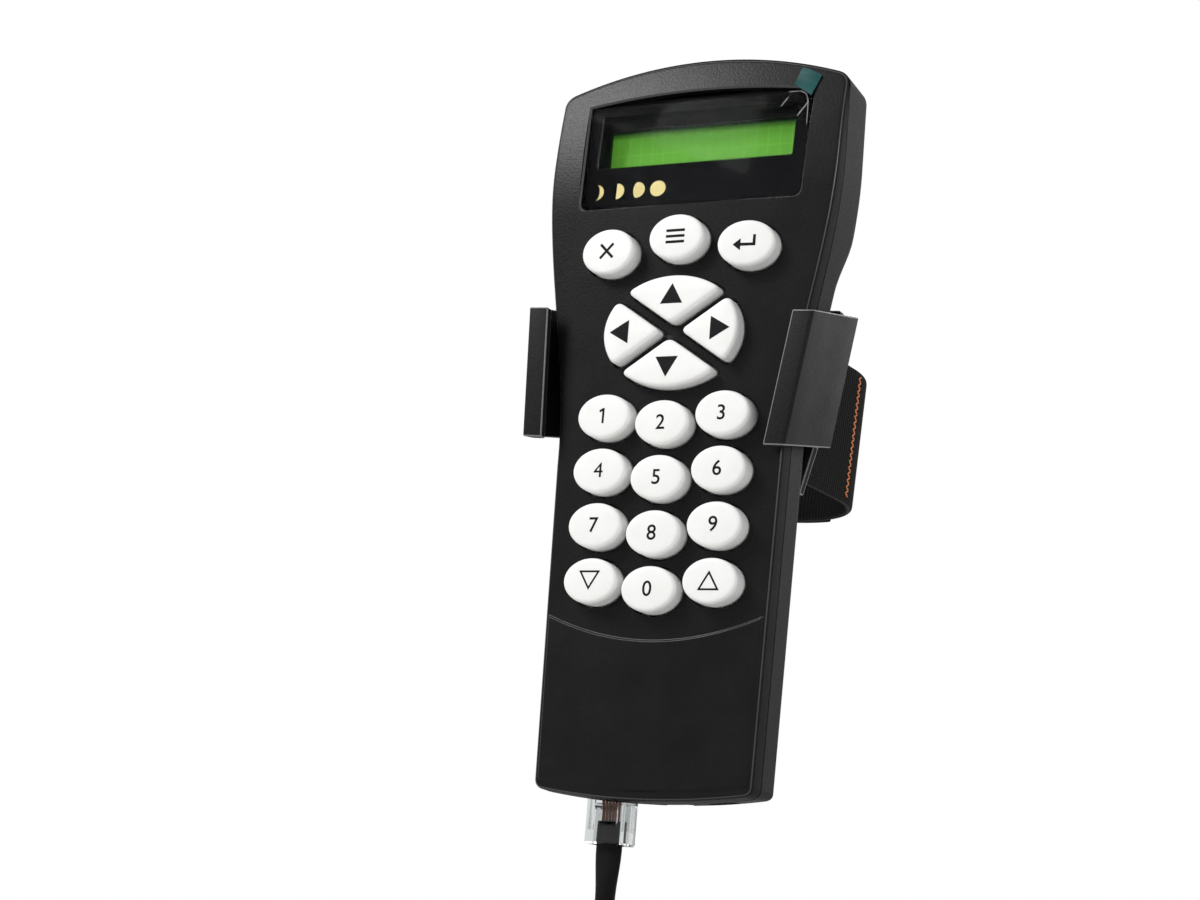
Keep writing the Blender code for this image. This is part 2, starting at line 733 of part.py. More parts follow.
def cable_sheath(look):
    """Sheath pressed flat inside the plug, rounding off to the cable's own diameter."""
    rings = []
    radius = CABLE_DIAMETER / 2.0
    stages = (SHEATH_TOP, SHEATH_FLAT_TO, -98.3, -101.2, -104.1, SHEATH_END)
    for up in stages:
        share = smooth((SHEATH_FLAT_TO - up) / (SHEATH_FLAT_TO - SHEATH_END))
        half = (SHEATH_HALF[0] + (radius - SHEATH_HALF[0]) * share,
                SHEATH_HALF[1] + (radius - SHEATH_HALF[1]) * share)
        rings.append(ring_along(oval(PLUG_ACROSS, PLUG_OUT, half, 16), up))
    return loft("cable_sheath", rings, look)


def tube(name, points, resolution, look):
    """Round cable along points given in the model's frame."""
    curve = bpy.data.curves.new(name, "CURVE")
    curve.dimensions = "3D"
    curve.bevel_depth = CABLE_DIAMETER * MM / 2.0
    curve.bevel_resolution = resolution
    curve.use_fill_caps = True
    spline = curve.splines.new("POLY")
    spline.points.add(len(points) - 1)
    for target, point in zip(spline.points, points):
        target.co = (*point, 1.0)
    curve.materials.append(look)
    made = bpy.data.objects.new(name, curve)
    bpy.context.collection.objects.link(made)
    return made


def turn_way(angle):
    """Direction of travel along the coil at an angle, across and up."""
    return Vector((-math.sin(angle), math.cos(angle)))


def lead_points():
    """Cable from the sheath: straight down, then one bend towards the coil, across and up."""
    start = Vector((PLUG_ACROSS, SHEATH_END - GAP))
    bend = start - Vector((0.0, LEAD_STRAIGHT))
    points = [start, start - Vector((0.0, LEAD_STRAIGHT / 2.0))]
    turn = math.pi - COIL_START
    for index in range(6):
        angle = turn * index / 5.0
        points.append(bend + LEAD_BEND * Vector((math.cos(angle) - 1.0, -math.sin(angle))))
    return points


def coil_centre():
    """Centre of the coil, set so that its first turn carries on from the lead."""
    start = lead_points()[-1] + turn_way(COIL_START) * (CABLE_DIAMETER + GAP)
    return start - COIL_OUTER * Vector((math.cos(COIL_START), math.sin(COIL_START)))


def coil_points():
    """Turns of the coil: each layer spirals in or out, and a half turn climbs to the next layer."""
    period = COIL_LAYER_TURNS + COIL_CLIMB_TURNS
    width = COIL_PITCH * COIL_LAYER_TURNS
    centre = coil_centre()
    points = []
    count = round(COIL_TURNS * COIL_POINTS)
    for index in range(count + 1):
        turn = COIL_TURNS * index / count
        layer = min(int(turn / period), COIL_LAYERS - 1)
        within = turn - layer * period
        travel = min(within / COIL_LAYER_TURNS, 1.0)
        climb = smooth((within - COIL_LAYER_TURNS) / COIL_CLIMB_TURNS)
        inwards = travel if layer % 2 == 0 else 1.0 - travel
        radius = COIL_OUTER - width * inwards
        angle = COIL_START + 2.0 * math.pi * turn
        points.append(place(centre.x + radius * math.cos(angle), centre.y + radius * math.sin(angle),
                            PLUG_OUT + COIL_LAYER * (layer + climb)))
    return points


def least_gap(points):
    """Smallest clear distance between turns that pass each other, in millimetres."""
    least = math.inf
    skip = COIL_POINTS // 2
    for index, point in enumerate(points):
        for other in points[index + skip:]:
            least = min(least, (point - other).length)
    return least / MM - CABLE_DIAMETER


def cable_pieces(black, clear, tie):
    """Cable lead, wound coil, tail, tie and the far plug."""
    tube("cable_lead", [place(point.x, point.y, PLUG_OUT) for point in lead_points()], 2, black)
    points = coil_points()
    print("coil: least gap between turns %.2f mm" % least_gap(points))
    way = turn_way(COIL_START) * CABLE_DIAMETER * MM
    entry = points[0] - Vector((way.x, 0.0, way.y))
    leave = points[-1] - Vector((0.0, 0.0, CABLE_DIAMETER * MM))
    tube("cable_coil", [entry] + points + [leave], 1, black)
    across = coil_centre().x - COIL_OUTER
    out = PLUG_OUT + COIL_LAYER * (COIL_LAYERS - 1)
    start = coil_centre().y - CABLE_DIAMETER - GAP
    tail = [place(across, start - TAIL_LONG * index / 3.0, out) for index in range(4)]
    tube("cable_tail", tail, 2, black)
    end = start - TAIL_LONG + 8.5
    held = (CABLE_DIAMETER / 2.0, CABLE_DIAMETER / 2.0)
    modular_plug("far_plug", across, out, end - FAR_PLUG_LONG, end, held, clear)
    cable_tie(tie)


def cable_tie(look):
    """Band round the bundle of turns at the coil's right side."""
    inner = COIL_OUTER - COIL_PITCH * COIL_LAYER_TURNS
    radius = CABLE_DIAMETER / 2.0
    centre = coil_centre()
    low = centre.x + inner - radius - 1.0
    high = centre.x + COIL_OUTER + radius + 0.6
    rear = PLUG_OUT - radius - 0.6
    front = PLUG_OUT + COIL_LAYER * (COIL_LAYERS - 1) + radius + 0.6
    section = [(low, rear), (high, rear), (high, front), (low, front)]
    inside = round_polygon(section, 2.0, 2)
    outside = inset(inside, -1.2)
    rings = [ring_along(ring, centre.y + rise)
             for ring, rise in ((outside, -3.5), (outside, 3.5), (inside, 3.5), (inside, -3.5))]
    return loft("cable_tie", rings, look, closed=True)


def cradle_place(across, up, out):
    """Turn the cradle's own coordinates, which lean a little, into the model's frame."""
    turned_across = CRADLE_CENTRE[0] + across * math.cos(LEAN) + up * math.sin(LEAN)
    turned_up = CRADLE_CENTRE[1] - across * math.sin(LEAN) + up * math.cos(LEAN)
    return place(turned_across, turned_up, out)


def arm_half(up):
    """Outer half width of the cradle, which narrows downwards."""
    return ARM_HALF + ARM_TAPER * up


def arm_reach(out):
    """Lowest and highest point of an arm, which sweeps upwards towards the back."""
    sweep = ARM_SWEEP * (LIP_FRONT - out) / (LIP_FRONT + FACE_DEPTH)
    return sweep - ARM_TALL / 2.0, sweep + ARM_TALL / 2.0


def cradle_half():
    """Stations of the right half from the plate to the lip: in from the side, outer and inner points."""
    rear = -FACE_DEPTH
    bend = 1.4
    arm = [((3.2, rear), (3.4, rear + SHEET)), ((bend, rear), (SHEET + 0.5, rear + SHEET)),
           ((0.4, rear + 0.4), (SHEET + 0.15, rear + SHEET + 0.15)),
           ((0.0, rear + bend), (SHEET, rear + SHEET + 0.5)),
           ((0.0, LIP_FRONT - bend), (SHEET, LIP_FRONT - SHEET - 0.5)),
           ((0.4, LIP_FRONT - 0.4), (SHEET + 0.15, LIP_FRONT - SHEET - 0.15)),
           ((bend, LIP_FRONT), (SHEET + 0.5, LIP_FRONT - SHEET)),
           ((LIP_WIDE, LIP_FRONT), (LIP_WIDE, LIP_FRONT - SHEET))]
    return arm


def cradle(look):
    """Bent sheet cradle: slotted back plate, two swept arms and the lips over the front face."""
    rear = -FACE_DEPTH
    rings = []
    for side in (1.0, -1.0):
        half = []
        for (outer_in, outer_out), (inner_in, inner_out) in cradle_half():
            low, high = arm_reach(outer_out)
            half.append([cradle_place(side * (arm_half(up) - away), up, out) for away, up, out in
                         ((outer_in, low, outer_out), (outer_in, high, outer_out),
                          (inner_in, high, inner_out), (inner_in, low, inner_out))])
        plate = [cradle_place(side * (arm_half(up) - away), up, out) for away, up, out in
                 ((4.4, PLATE_LOW, rear), (4.4, PLATE_HIGH, rear),
                  (4.4, PLATE_HIGH, rear + SHEET), (4.4, PLATE_LOW, rear + SHEET))]
        half = [plate] + half
        rings = half[::-1] if side > 0.0 else rings + half
    made = loft("cradle", rings, look)
    slots = bmesh.new()
    middle = (STRAP_LOW + STRAP_HIGH) / 2.0
    tall = STRAP_HIGH - STRAP_LOW + 1.6
    for side in (-1.0, 1.0):
        slot = rectangle(side * SLOT_ACROSS, middle, SLOT_WIDE, tall)
        add_loft(slots, [[cradle_place(across, up, out) for across, up in slot]
                         for out in (rear - 2.0, rear + SHEET + 2.0)])
    cut(made, finish("strap_slots", slots, None))
    return made


def strap_path():
    """Middle line of the strap: across the plate, through the slots and round the leg, across and out."""
    centre_out = -FACE_DEPTH - LEG_RADIUS - GAP
    radius = LEG_RADIUS + GAP + STRAP_THICK / 2.0
    front = -FACE_DEPTH + SHEET + GAP + STRAP_THICK / 2.0
    bend = 2.6
    corner = [(SLOT_ACROSS - bend, front), (SLOT_ACROSS, front), (SLOT_ACROSS, front - bend)]
    reach = math.hypot(SLOT_ACROSS, front - bend - centre_out)
    bearing = math.atan2(front - bend - centre_out, SLOT_ACROSS)
    touch = bearing - math.acos(radius / reach)
    right = soft_corner(*corner, 4)
    arc = []
    steps = 16
    for index in range(steps + 1):
        angle = touch - (touch + math.pi / 2.0) * index / steps
        arc.append((radius * math.cos(angle), centre_out + radius * math.sin(angle)))
    half = right + arc
    mirror = [(-across, out) for across, out in reversed(half[:-1])]
    return half + mirror


def band(name, path, thick, low, high, look, closed):
    """Flat band of even thickness along a path."""
    rings = []
    count = len(path)
    for index, point in enumerate(path):
        here = Vector(point)
        before = Vector(path[index - 1]) if closed or index else here
        after = Vector(path[(index + 1) % count]) if closed or index < count - 1 else here
        along = (after - before).normalized()
        side = Vector((-along.y, along.x)) * thick / 2.0
        inner = here - side
        outer = here + side
        rings.append((cradle_place(inner.x, low, inner.y), cradle_place(inner.x, high, inner.y),
                      cradle_place(outer.x, high, outer.y), cradle_place(outer.x, low, outer.y)))
    return loft(name, rings, look, closed)


def strap_pieces(look):
    """Strap loop and the flap that closes it behind the leg."""
    band("strap", strap_path(), STRAP_THICK, STRAP_LOW, STRAP_HIGH, look, True)
    centre_out = -FACE_DEPTH - LEG_RADIUS - GAP
    radius = LEG_RADIUS + 2.0 * GAP + STRAP_THICK * 1.5
    flap = []
    for index in range(13):
        angle = math.radians(-165.0 + 105.0 * index / 12.0)
        flap.append((radius * math.cos(angle), centre_out + radius * math.sin(angle)))
    band("strap_flap", flap, STRAP_THICK, STRAP_LOW, STRAP_HIGH, look, False)


def main():
    """Clear the scene and build every piece."""
    for item in list(bpy.data.objects):
        bpy.data.objects.remove(item, do_unlink=True)
    black = material("textured_black_plastic", (0.018, 0.018, 0.020), 0.55)
    white = material("white_key_rubber", (0.86, 0.86, 0.84), 0.5)
    clear = material("clear_plastic", (0.85, 0.88, 0.88), 0.08, alpha=0.35)
    smoke = material("printed_window", (0.02, 0.02, 0.025), 0.08, alpha=0.6)
    film = material("clear_film", (0.9, 0.92, 0.92), 0.1, alpha=0.2)
    teal = material("pull_tab", (0.01, 0.22, 0.19), 0.35)
    green = material("display_green", (0.14, 0.42, 0.06), 0.35)
    metal = material("black_bezel", (0.03, 0.03, 0.03), 0.45, metallic=0.6)
    board = material("board_green", (0.02, 0.14, 0.06), 0.5)
    steel = material("screw_steel", (0.35, 0.35, 0.36), 0.35, metallic=1.0)
    sheet = material("cradle_black", (0.03, 0.03, 0.032), 0.5)
    woven = material("strap_webbing", (0.02, 0.02, 0.02), 0.85)
    front_shell(black)
    rear_shell(black)
    for label, shape, centre, lean in all_keys():
        key_cap(label, shape, centre, lean, white)
    window_pieces(smoke, film, teal)
    display_pieces(metal, green, board, black)
    board_pieces(board, black, white)
    for name, across in JACKS:
        modular_jack(name, across, black)
    power_jack(black)
    for number, (across, up) in enumerate(SCREW_PLACES, 1):
        case_screw("case_screw_%d" % number, across, up, steel)
    modular_plug("cable_plug", PLUG_ACROSS, PLUG_OUT, PLUG_TIP, PLUG_END, SHEATH_HALF, clear)
    cable_sheath(black)
    cable_pieces(black, clear, woven)
    cradle(sheet)
    strap_pieces(woven)


main()
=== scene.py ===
"""Looks of a telescope hand controller held in its leg cradle.

Sizes in the fields are millimetres. Design coordinates are across (to the right as seen from the
front), up (along the controller, zero at the first row of number keys) and out (towards the viewer,
zero at the middle of the front face). Finished meshes are in metres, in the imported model's frame.
"""

from __future__ import annotations

import json
import logging
import math
from dataclasses import dataclass
from enum import Enum
from functools import partial
from typing import Any, Callable, Iterator, Sequence

import bmesh
import bpy
from mathutils import Matrix, Vector
from mathutils.bvhtree import BVHTree

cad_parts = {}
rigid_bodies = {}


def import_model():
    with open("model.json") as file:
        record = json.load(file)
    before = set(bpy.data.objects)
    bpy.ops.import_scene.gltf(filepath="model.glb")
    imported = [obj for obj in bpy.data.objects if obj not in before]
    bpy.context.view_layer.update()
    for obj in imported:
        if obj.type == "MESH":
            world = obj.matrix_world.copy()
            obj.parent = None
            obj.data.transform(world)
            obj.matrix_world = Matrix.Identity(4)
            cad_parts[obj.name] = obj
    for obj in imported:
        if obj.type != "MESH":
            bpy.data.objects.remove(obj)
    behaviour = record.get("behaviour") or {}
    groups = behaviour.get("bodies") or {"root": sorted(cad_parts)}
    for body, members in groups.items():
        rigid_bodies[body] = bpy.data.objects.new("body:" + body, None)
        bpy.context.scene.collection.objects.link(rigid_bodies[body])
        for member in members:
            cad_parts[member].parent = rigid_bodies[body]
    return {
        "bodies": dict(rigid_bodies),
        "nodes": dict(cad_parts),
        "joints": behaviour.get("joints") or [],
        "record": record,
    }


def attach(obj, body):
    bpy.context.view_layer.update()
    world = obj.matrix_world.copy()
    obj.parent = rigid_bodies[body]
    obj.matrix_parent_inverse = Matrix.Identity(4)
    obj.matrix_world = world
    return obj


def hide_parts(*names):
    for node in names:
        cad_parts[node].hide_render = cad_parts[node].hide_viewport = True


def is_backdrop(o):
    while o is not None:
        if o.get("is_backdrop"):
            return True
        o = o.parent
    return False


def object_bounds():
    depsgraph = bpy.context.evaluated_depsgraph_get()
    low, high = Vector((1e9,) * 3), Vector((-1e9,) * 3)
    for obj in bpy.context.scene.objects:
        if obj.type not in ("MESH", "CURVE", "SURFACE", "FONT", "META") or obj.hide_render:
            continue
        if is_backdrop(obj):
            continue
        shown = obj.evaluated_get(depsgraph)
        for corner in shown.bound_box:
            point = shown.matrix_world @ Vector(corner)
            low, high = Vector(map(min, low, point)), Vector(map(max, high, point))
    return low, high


LOG = logging.getLogger("hand_controller")
MM = 0.001
GAP = 0.3
FACE_DEPTH = 22.0
CRADLE_UP = 10.0

Flat = tuple[float, float]
Point = tuple[float, float, float]
Colour = tuple[float, float, float]
Shape = Callable[[float], list[Flat]]


class Cut(Enum):
    """How one solid changes another."""

    AWAY = "DIFFERENCE"
    JOIN = "UNION"


class Body(Enum):
    """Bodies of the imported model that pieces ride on."""

    HOLDER = "holder"
    CONTROLLER = "controller"


class Slot(Enum):
    """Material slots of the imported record."""

    SHELL = "shell"
    KEYS = "keys"
    WINDOW = "window"
    FILM = "film"
    TAB = "tab"
    BEZEL = "bezel"
    DISPLAY = "display"
    BOARD = "board"
    CHIP = "chip"
    SCREW = "screw"
    PLUG = "plug"
    CABLE = "cable"
    WEBBING = "webbing"
    SHEET = "sheet"


def place(across: float, up: float, out: float) -> Vector:
    """Turn design coordinates in millimetres into the model's frame in metres."""
    return Vector((across, -(FACE_DEPTH + out), up - CRADLE_UP)) * MM


def smooth(value: float) -> float:
    """Smooth step from 0 to 1."""
    value = min(max(value, 0.0), 1.0)
    return value * value * (3.0 - 2.0 * value)


def spread(low: float, high: float, steps: int) -> list[float]:
    """Evenly spaced numbers from low to high, both included."""
    return [low + (high - low) * index / steps for index in range(steps + 1)]


def soft_corner(before: Sequence[float], corner: Sequence[float], after: Sequence[float],
                steps: int = 8) -> list[tuple[float, ...]]:
    """Round a corner between two tangent points.

    Args:
        before: Tangent point where the curve starts.
        corner: The sharp corner.
        after: Tangent point where the curve ends.
        steps: Number of chords.

    Returns:
        The curve's points.
    """
    points = []
    for share in spread(0.0, 1.0, steps):
        keep = 1.0 - share
        points.append(tuple(keep * keep * a + 2.0 * keep * share * b + share * share * c
                            for a, b, c in zip(before, corner, after)))
    return points


def round_polygon(corners: Sequence[Flat], reach: float, steps: int = 6) -> list[Flat]:
    """Round every corner of a polygon.

    Args:
        corners: The polygon's corners in order.
        reach: Distance from a corner at which its curve starts.
        steps: Number of chords in each corner.

    Returns:
        The rounded outline.
    """
    points: list[Flat] = []
    count = len(corners)
    for index, corner in enumerate(corners):
        here = Vector(corner)
        back = (Vector(corners[index - 1]) - here).normalized() * reach
        ahead = (Vector(corners[(index + 1) % count]) - here).normalized() * reach
        points += soft_corner(here + back, here, here + ahead, steps)
    return points


def rectangle(across: float, up: float, wide: float, tall: float) -> list[Flat]:
    """Corners of a rectangle about its centre."""
    half, rise = wide / 2.0, tall / 2.0
    return [(across - half, up - rise), (across + half, up - rise),
            (across + half, up + rise), (across - half, up + rise)]


def oval(across: float, up: float, half: Flat, sides: int = 64) -> list[Flat]:
    """Points of an ellipse."""
    turns = [2.0 * math.pi * index / sides for index in range(sides)]
    return [(across + half[0] * math.cos(turn), up + half[1] * math.sin(turn)) for turn in turns]


def raised(outline: Sequence[Flat], out: float) -> list[Point]:
    """Lift a flat outline to one height."""
    return [(across, up, out) for across, up in outline]


def along(section: Sequence[Flat], up: float) -> list[Point]:
    """Set a section given across and out square to the controller's length."""
    return [(across, up, out) for across, out in section]


def soften(piece: bpy.types.Object, crease: float = 35.0) -> None:
    """Shade a piece smooth, with sharp edges above an angle in degrees."""
    piece.data.shade_smooth()
    piece.data.set_sharp_from_angle(angle=math.radians(crease))


def evaluated_mesh(piece: bpy.types.Object) -> bpy.types.Mesh:
    """Plain mesh of a piece with its modifiers applied."""
    bpy.context.view_layer.update()
    return bpy.data.meshes.new_from_object(piece.evaluated_get(bpy.context.evaluated_depsgraph_get()))


def swap_mesh(piece: bpy.types.Object, mesh: bpy.types.Mesh) -> None:
    """Give a piece a new mesh and remove the old one and every modifier."""
    old = piece.data
    piece.modifiers.clear()
    piece.data = mesh
    bpy.data.meshes.remove(old)
    mesh.name = piece.name


def carve(target: bpy.types.Object, tool: bpy.types.Object, cut: Cut) -> None:
    """Cut or join with a tool at once, and remove the tool."""
    change = target.modifiers.new("carve", "BOOLEAN")
    change.operation = cut.value
    change.solver = "EXACT"
    change.object = tool
    swap_mesh(target, evaluated_mesh(target))
    used = tool.data
    bpy.data.objects.remove(tool)
    bpy.data.meshes.remove(used)


def tidy_edges(piece: bpy.types.Object) -> None:
    """Merge doubled points that a cut leaves behind and turn the faces outwards."""
    work = bmesh.new()
    work.from_mesh(piece.data)
    bmesh.ops.remove_doubles(work, verts=work.verts, dist=0.002 * MM)
    bmesh.ops.dissolve_degenerate(work, dist=0.001 * MM, edges=work.edges)
    bmesh.ops.recalc_face_normals(work, faces=work.faces)
    work.to_mesh(piece.data)
    work.free()


def settle(piece: bpy.types.Object, body: str, slot: Slot, *nodes: str) -> bpy.types.Object:
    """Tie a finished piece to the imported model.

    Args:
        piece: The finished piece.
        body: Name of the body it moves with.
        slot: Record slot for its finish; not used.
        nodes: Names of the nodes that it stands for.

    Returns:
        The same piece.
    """
    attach(piece, body)
    if nodes:
        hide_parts(*nodes)
    LOG.info("%s rides on %s", piece.name, body)
    return piece


class Skin:
    """Mesh under construction, fed with rings of points in design coordinates."""

    def __init__(self) -> None:
        """Start an empty mesh."""
        self.mesh = bmesh.new()

    def ring(self, points: Sequence[Point]) -> list[bmesh.types.BMVert]:
        """Add a row of points."""
        return [self.mesh.verts.new(place(*point)) for point in points]

    def bridge(self, lower: Sequence[bmesh.types.BMVert], upper: Sequence[bmesh.types.BMVert],
               around: bool = True) -> list[bmesh.types.BMFace]:
        """Join two rows of equal length with quads, all the way round or as a strip."""
        count, made = len(lower), []
        for index in range(count if around else count - 1):
            after = (index + 1) % count
            made.append(self.mesh.faces.new((lower[index], lower[after], upper[after], upper[index])))
        return made

    def fan(self, loop: Sequence[bmesh.types.BMVert], tip: Point) -> None:
        """Close a loop with triangles to a point."""
        top = self.mesh.verts.new(place(*tip))
        for index, vert in enumerate(loop):
            self.mesh.faces.new((vert, loop[(index + 1) % len(loop)], top))

    def loft(self, rings: Sequence[Sequence[Point]], capped: bool = True, closed: bool = False) -> None:
        """Bridge rings into one skin.

        Args:
            rings: Rings of equal length.
            capped: Whether the two ends get a face.
            closed: Whether the last ring joins the first.
        """
        loops = [self.ring(ring) for ring in rings]
        for lower, upper in zip(loops, loops[1:]):
            self.bridge(lower, upper)
        if closed:
            self.bridge(loops[-1], loops[0])
        elif capped:
            self.mesh.faces.new(loops[0])
            self.mesh.faces.new(loops[-1])

    def patch(self, grid: Sequence[Sequence[Point]], under: Sequence[Sequence[Point]]) -> None:
        """Thin closed sheet between a grid of points and the grid below it."""
        top = [self.ring(row) for row in grid]
        base = [self.ring(row) for row in under]
        for layer in (top, base):
            for lower, upper in zip(layer, layer[1:]):
                self.bridge(lower, upper, around=False)
        for first, second in ((top[0], base[0]), (top[-1], base[-1])):
            self.bridge(first, second, around=False)
        for end in (0, -1):
            self.bridge([row[end] for row in top], [row[end] for row in base], around=False)

    def done(self, name: str, look: bpy.types.Material | None = None,
             crease: float = 35.0) -> bpy.types.Object:
        """Close the mesh into a named, shaded object.

        Args:
            name: Name of the piece.
            look: Its material, or none for a tool.
            crease: Angle in degrees above which edges stay sharp.

        Returns:
            The new object.
        """
        bmesh.ops.recalc_face_normals(self.mesh, faces=self.mesh.faces)
        mesh = bpy.data.meshes.new(name)
        self.mesh.to_mesh(mesh)
        self.mesh.free()
        piece = bpy.data.objects.new(name, mesh)
        bpy.context.scene.collection.objects.link(piece)
        if look is not None:
            mesh.materials.append(look)
        soften(piece, crease)
        return piece


class NodeBench:
    """Node tree of one Principled material."""

    def __init__(self, name: str) -> None:
        """Start a material with its Principled shader."""
        self.material = bpy.data.materials.new(name)
        self.material.use_nodes = True
        self.tree = self.material.node_tree
        self.shader = self.tree.nodes["Principled BSDF"]

    def set(self, values: dict[str, Any]) -> None:
        """Set sockets of the shader that are the same all over."""
        for socket, value in values.items():
            wide = isinstance(value, tuple) and len(value) == 3 and socket != "Subsurface Radius"
            self.shader.inputs[socket].default_value = (*value, 1.0) if wide else value

    def add(self, kind: str, values: dict[str | int, Any] | None = None, **settings: Any) -> bpy.types.Node:
        """Add a node with socket values and settings."""
        node = self.tree.nodes.new(kind)
        for name, value in settings.items():
            setattr(node, name, value)
        for socket, value in (values or {}).items():
            node.inputs[socket].default_value = value
        return node

    def wire(self, start: bpy.types.NodeSocket, node: bpy.types.Node, socket: str | int) -> None:
        """Link an output to a node's input."""
        self.tree.links.new(start, node.inputs[socket])

    def coords(self, kind: str = "Object", stretch: Point = (1.0, 1.0, 1.0)) -> bpy.types.NodeSocket:
        """Texture coordinates, stretched along each axis."""
        mapping = self.add("ShaderNodeMapping", {"Scale": stretch})
        self.wire(self.add("ShaderNodeTexCoord").outputs[kind], mapping, "Vector")
        return mapping.outputs["Vector"]

    def noise(self, vector: bpy.types.NodeSocket, size: float, detail: float = 3.0,
              roughness: float = 0.55) -> bpy.types.NodeSocket:
        """Noise with features of a size in millimetres."""
        node = self.add("ShaderNodeTexNoise", {"Scale": 1.0 / (size * MM), "Detail": detail,
                                               "Roughness": roughness})
        self.wire(vector, node, "Vector")
        return node.outputs["Fac"]

    def between(self, factor: bpy.types.NodeSocket, low: float, high: float,
                start: float = 0.3, stop: float = 0.7) -> bpy.types.NodeSocket:
        """Map a factor from one range to another."""
        node = self.add("ShaderNodeMapRange", {"From Min": start, "From Max": stop,
                                               "To Min": low, "To Max": high})
        self.wire(factor, node, "Value")
        return node.outputs["Result"]

    def mix(self, factor: bpy.types.NodeSocket, first: Colour, second: Colour) -> bpy.types.NodeSocket:
        """Colour between two tones by a factor."""
        node = self.add("ShaderNodeMix", {6: (*first, 1.0), 7: (*second, 1.0)}, data_type="RGBA")
        self.wire(factor, node, 0)
        return node.outputs[2]

    def tint(self, factor: bpy.types.NodeSocket, first: Colour, second: Colour) -> None:
        """Vary the base colour between two tones by a factor."""
        self.wire(self.mix(factor, first, second), self.shader, "Base Color")

    def bump(self, height: bpy.types.NodeSocket, depth: float, strength: float = 1.0) -> None:
        """Add relief of a depth in millimetres, on top of relief that is there already."""
        node = self.add("ShaderNodeBump", {"Strength": strength, "Distance": depth * MM})
        self.wire(height, node, "Height")
        normal = self.shader.inputs["Normal"]
        if normal.is_linked:
            self.wire(normal.links[0].from_socket, node, "Normal")
        self.wire(node.outputs["Normal"], self.shader, "Normal")


@dataclass(frozen=True)
class MouldedPlastic:
    """Opaque moulded plastic with a fine spark-eroded grain and slight cloudiness."""

    name: str
    dark: Colour
    light: Colour
    roughness: Flat = (0.26, 0.35)
    specular: float = 0.11
    grain_size: float = 0.45
    grain_depth: float = 0.05

    def make(self) -> bpy.types.Material:
        """Build the material."""
        bench = NodeBench(self.name)
        bench.set({"Specular IOR Level": self.specular})
        coords = bench.coords()
        cloud = bench.noise(coords, 9.0, 4.0)
        bench.tint(bench.between(cloud, 0.0, 1.0), self.dark, self.light)
        grain = bench.noise(coords, self.grain_size, 2.0, 0.5)
        bench.wire(bench.between(grain, *self.roughness), bench.shader, "Roughness")
        bench.bump(bench.noise(coords, 14.0, 1.0), 0.08, 0.35)
        bench.bump(grain, self.grain_depth, 0.75)
        return bench.material


@dataclass(frozen=True)
class KeyRubber:
    """White silicone rubber with a satin skin and a trace of handling."""

    name: str = "white_key_rubber"
    clean: Colour = (0.84, 0.84, 0.83)
    soiled: Colour = (0.805, 0.80, 0.78)

    def make(self) -> bpy.types.Material:
        """Build the material."""
        bench = NodeBench(self.name)
        bench.set({"Specular IOR Level": 0.4, "Subsurface Weight": 0.12,
                   "Subsurface Radius": (1.0, 0.9, 0.8), "Subsurface Scale": 0.0006})
        coords = bench.coords()
        cloud = bench.noise(coords, 5.0, 4.0)
        bench.tint(bench.between(cloud, 0.0, 1.0, 0.4, 0.75), self.clean, self.soiled)
        fine = bench.noise(coords, 0.5, 2.0)
        bench.wire(bench.between(fine, 0.36, 0.48), bench.shader, "Roughness")
        bench.bump(fine, 0.012, 0.5)
        return bench.material


@dataclass(frozen=True)
class PrintInk:
    """Screen-printed ink with slightly uneven cover."""

    name: str
    full: Colour
    thin: Colour
    roughness: float = 0.5
    specular: float = 0.3

    def make(self) -> bpy.types.Material:
        """Build the material."""
        bench = NodeBench(self.name)
        bench.set({"Roughness": self.roughness, "Specular IOR Level": self.specular})
        cover = bench.noise(bench.coords(), 0.35, 3.0)
        bench.tint(bench.between(cover, 0.0, 1.0, 0.45, 0.8), self.full, self.thin)
        bench.bump(cover, 0.006, 0.5)
        return bench.material


@dataclass(frozen=True)
class ClearPlastic:
    """Clear moulded plastic with faint flow lines."""

    name: str
    colour: Colour = (0.98, 0.985, 0.985)
    roughness: float = 0.03
    bend: float = 1.49
    flow: float = 0.02

    def make(self) -> bpy.types.Material:
        """Build the material."""
        bench = NodeBench(self.name)
        bench.set({"Base Color": self.colour, "Roughness": self.roughness, "IOR": self.bend,
                   "Transmission Weight": 1.0})
        bench.bump(bench.noise(bench.coords("Object", (1.0, 1.0, 0.35)), 3.0, 2.0), self.flow, 0.4)
        return bench.material


@dataclass(frozen=True)
class ThinFilm:
    """Thin plastic film, nearly invisible but for its gloss and a painted highlight along its folds, where it turns
    whiter and less clear.
    """

    name: str
    colour: Colour
    second: Colour
    alpha: float
    fold_highlight_alpha: float = 0.0
    roughness: float = 0.12
    wrinkle: float = 0.03

    def make(self) -> bpy.types.Material:
        """Build the material."""
        bench = NodeBench(self.name)
        bench.set({"Roughness": self.roughness, "Alpha": self.alpha, "Specular IOR Level": 0.15})
        # Along the folds the film is painted whiter and less clear: a painted highlight of the light caught by the
        # folds.
        if self.fold_highlight_alpha:
            fold = bench.add("ShaderNodeAttribute", attribute_name="fold")
            bench.wire(bench.between(fold.outputs["Fac"], self.alpha, self.fold_highlight_alpha, 0.0, 1.0), bench.shader,
                       "Alpha")
        cloud = bench.noise(bench.coords(), 4.0, 3.0)
        shade = fold.outputs["Fac"] if self.fold_highlight_alpha else bench.between(cloud, 0.0, 1.0)
        bench.tint(shade, self.colour, self.second)
        bench.bump(cloud, self.wrinkle, 0.6)
        return bench.material


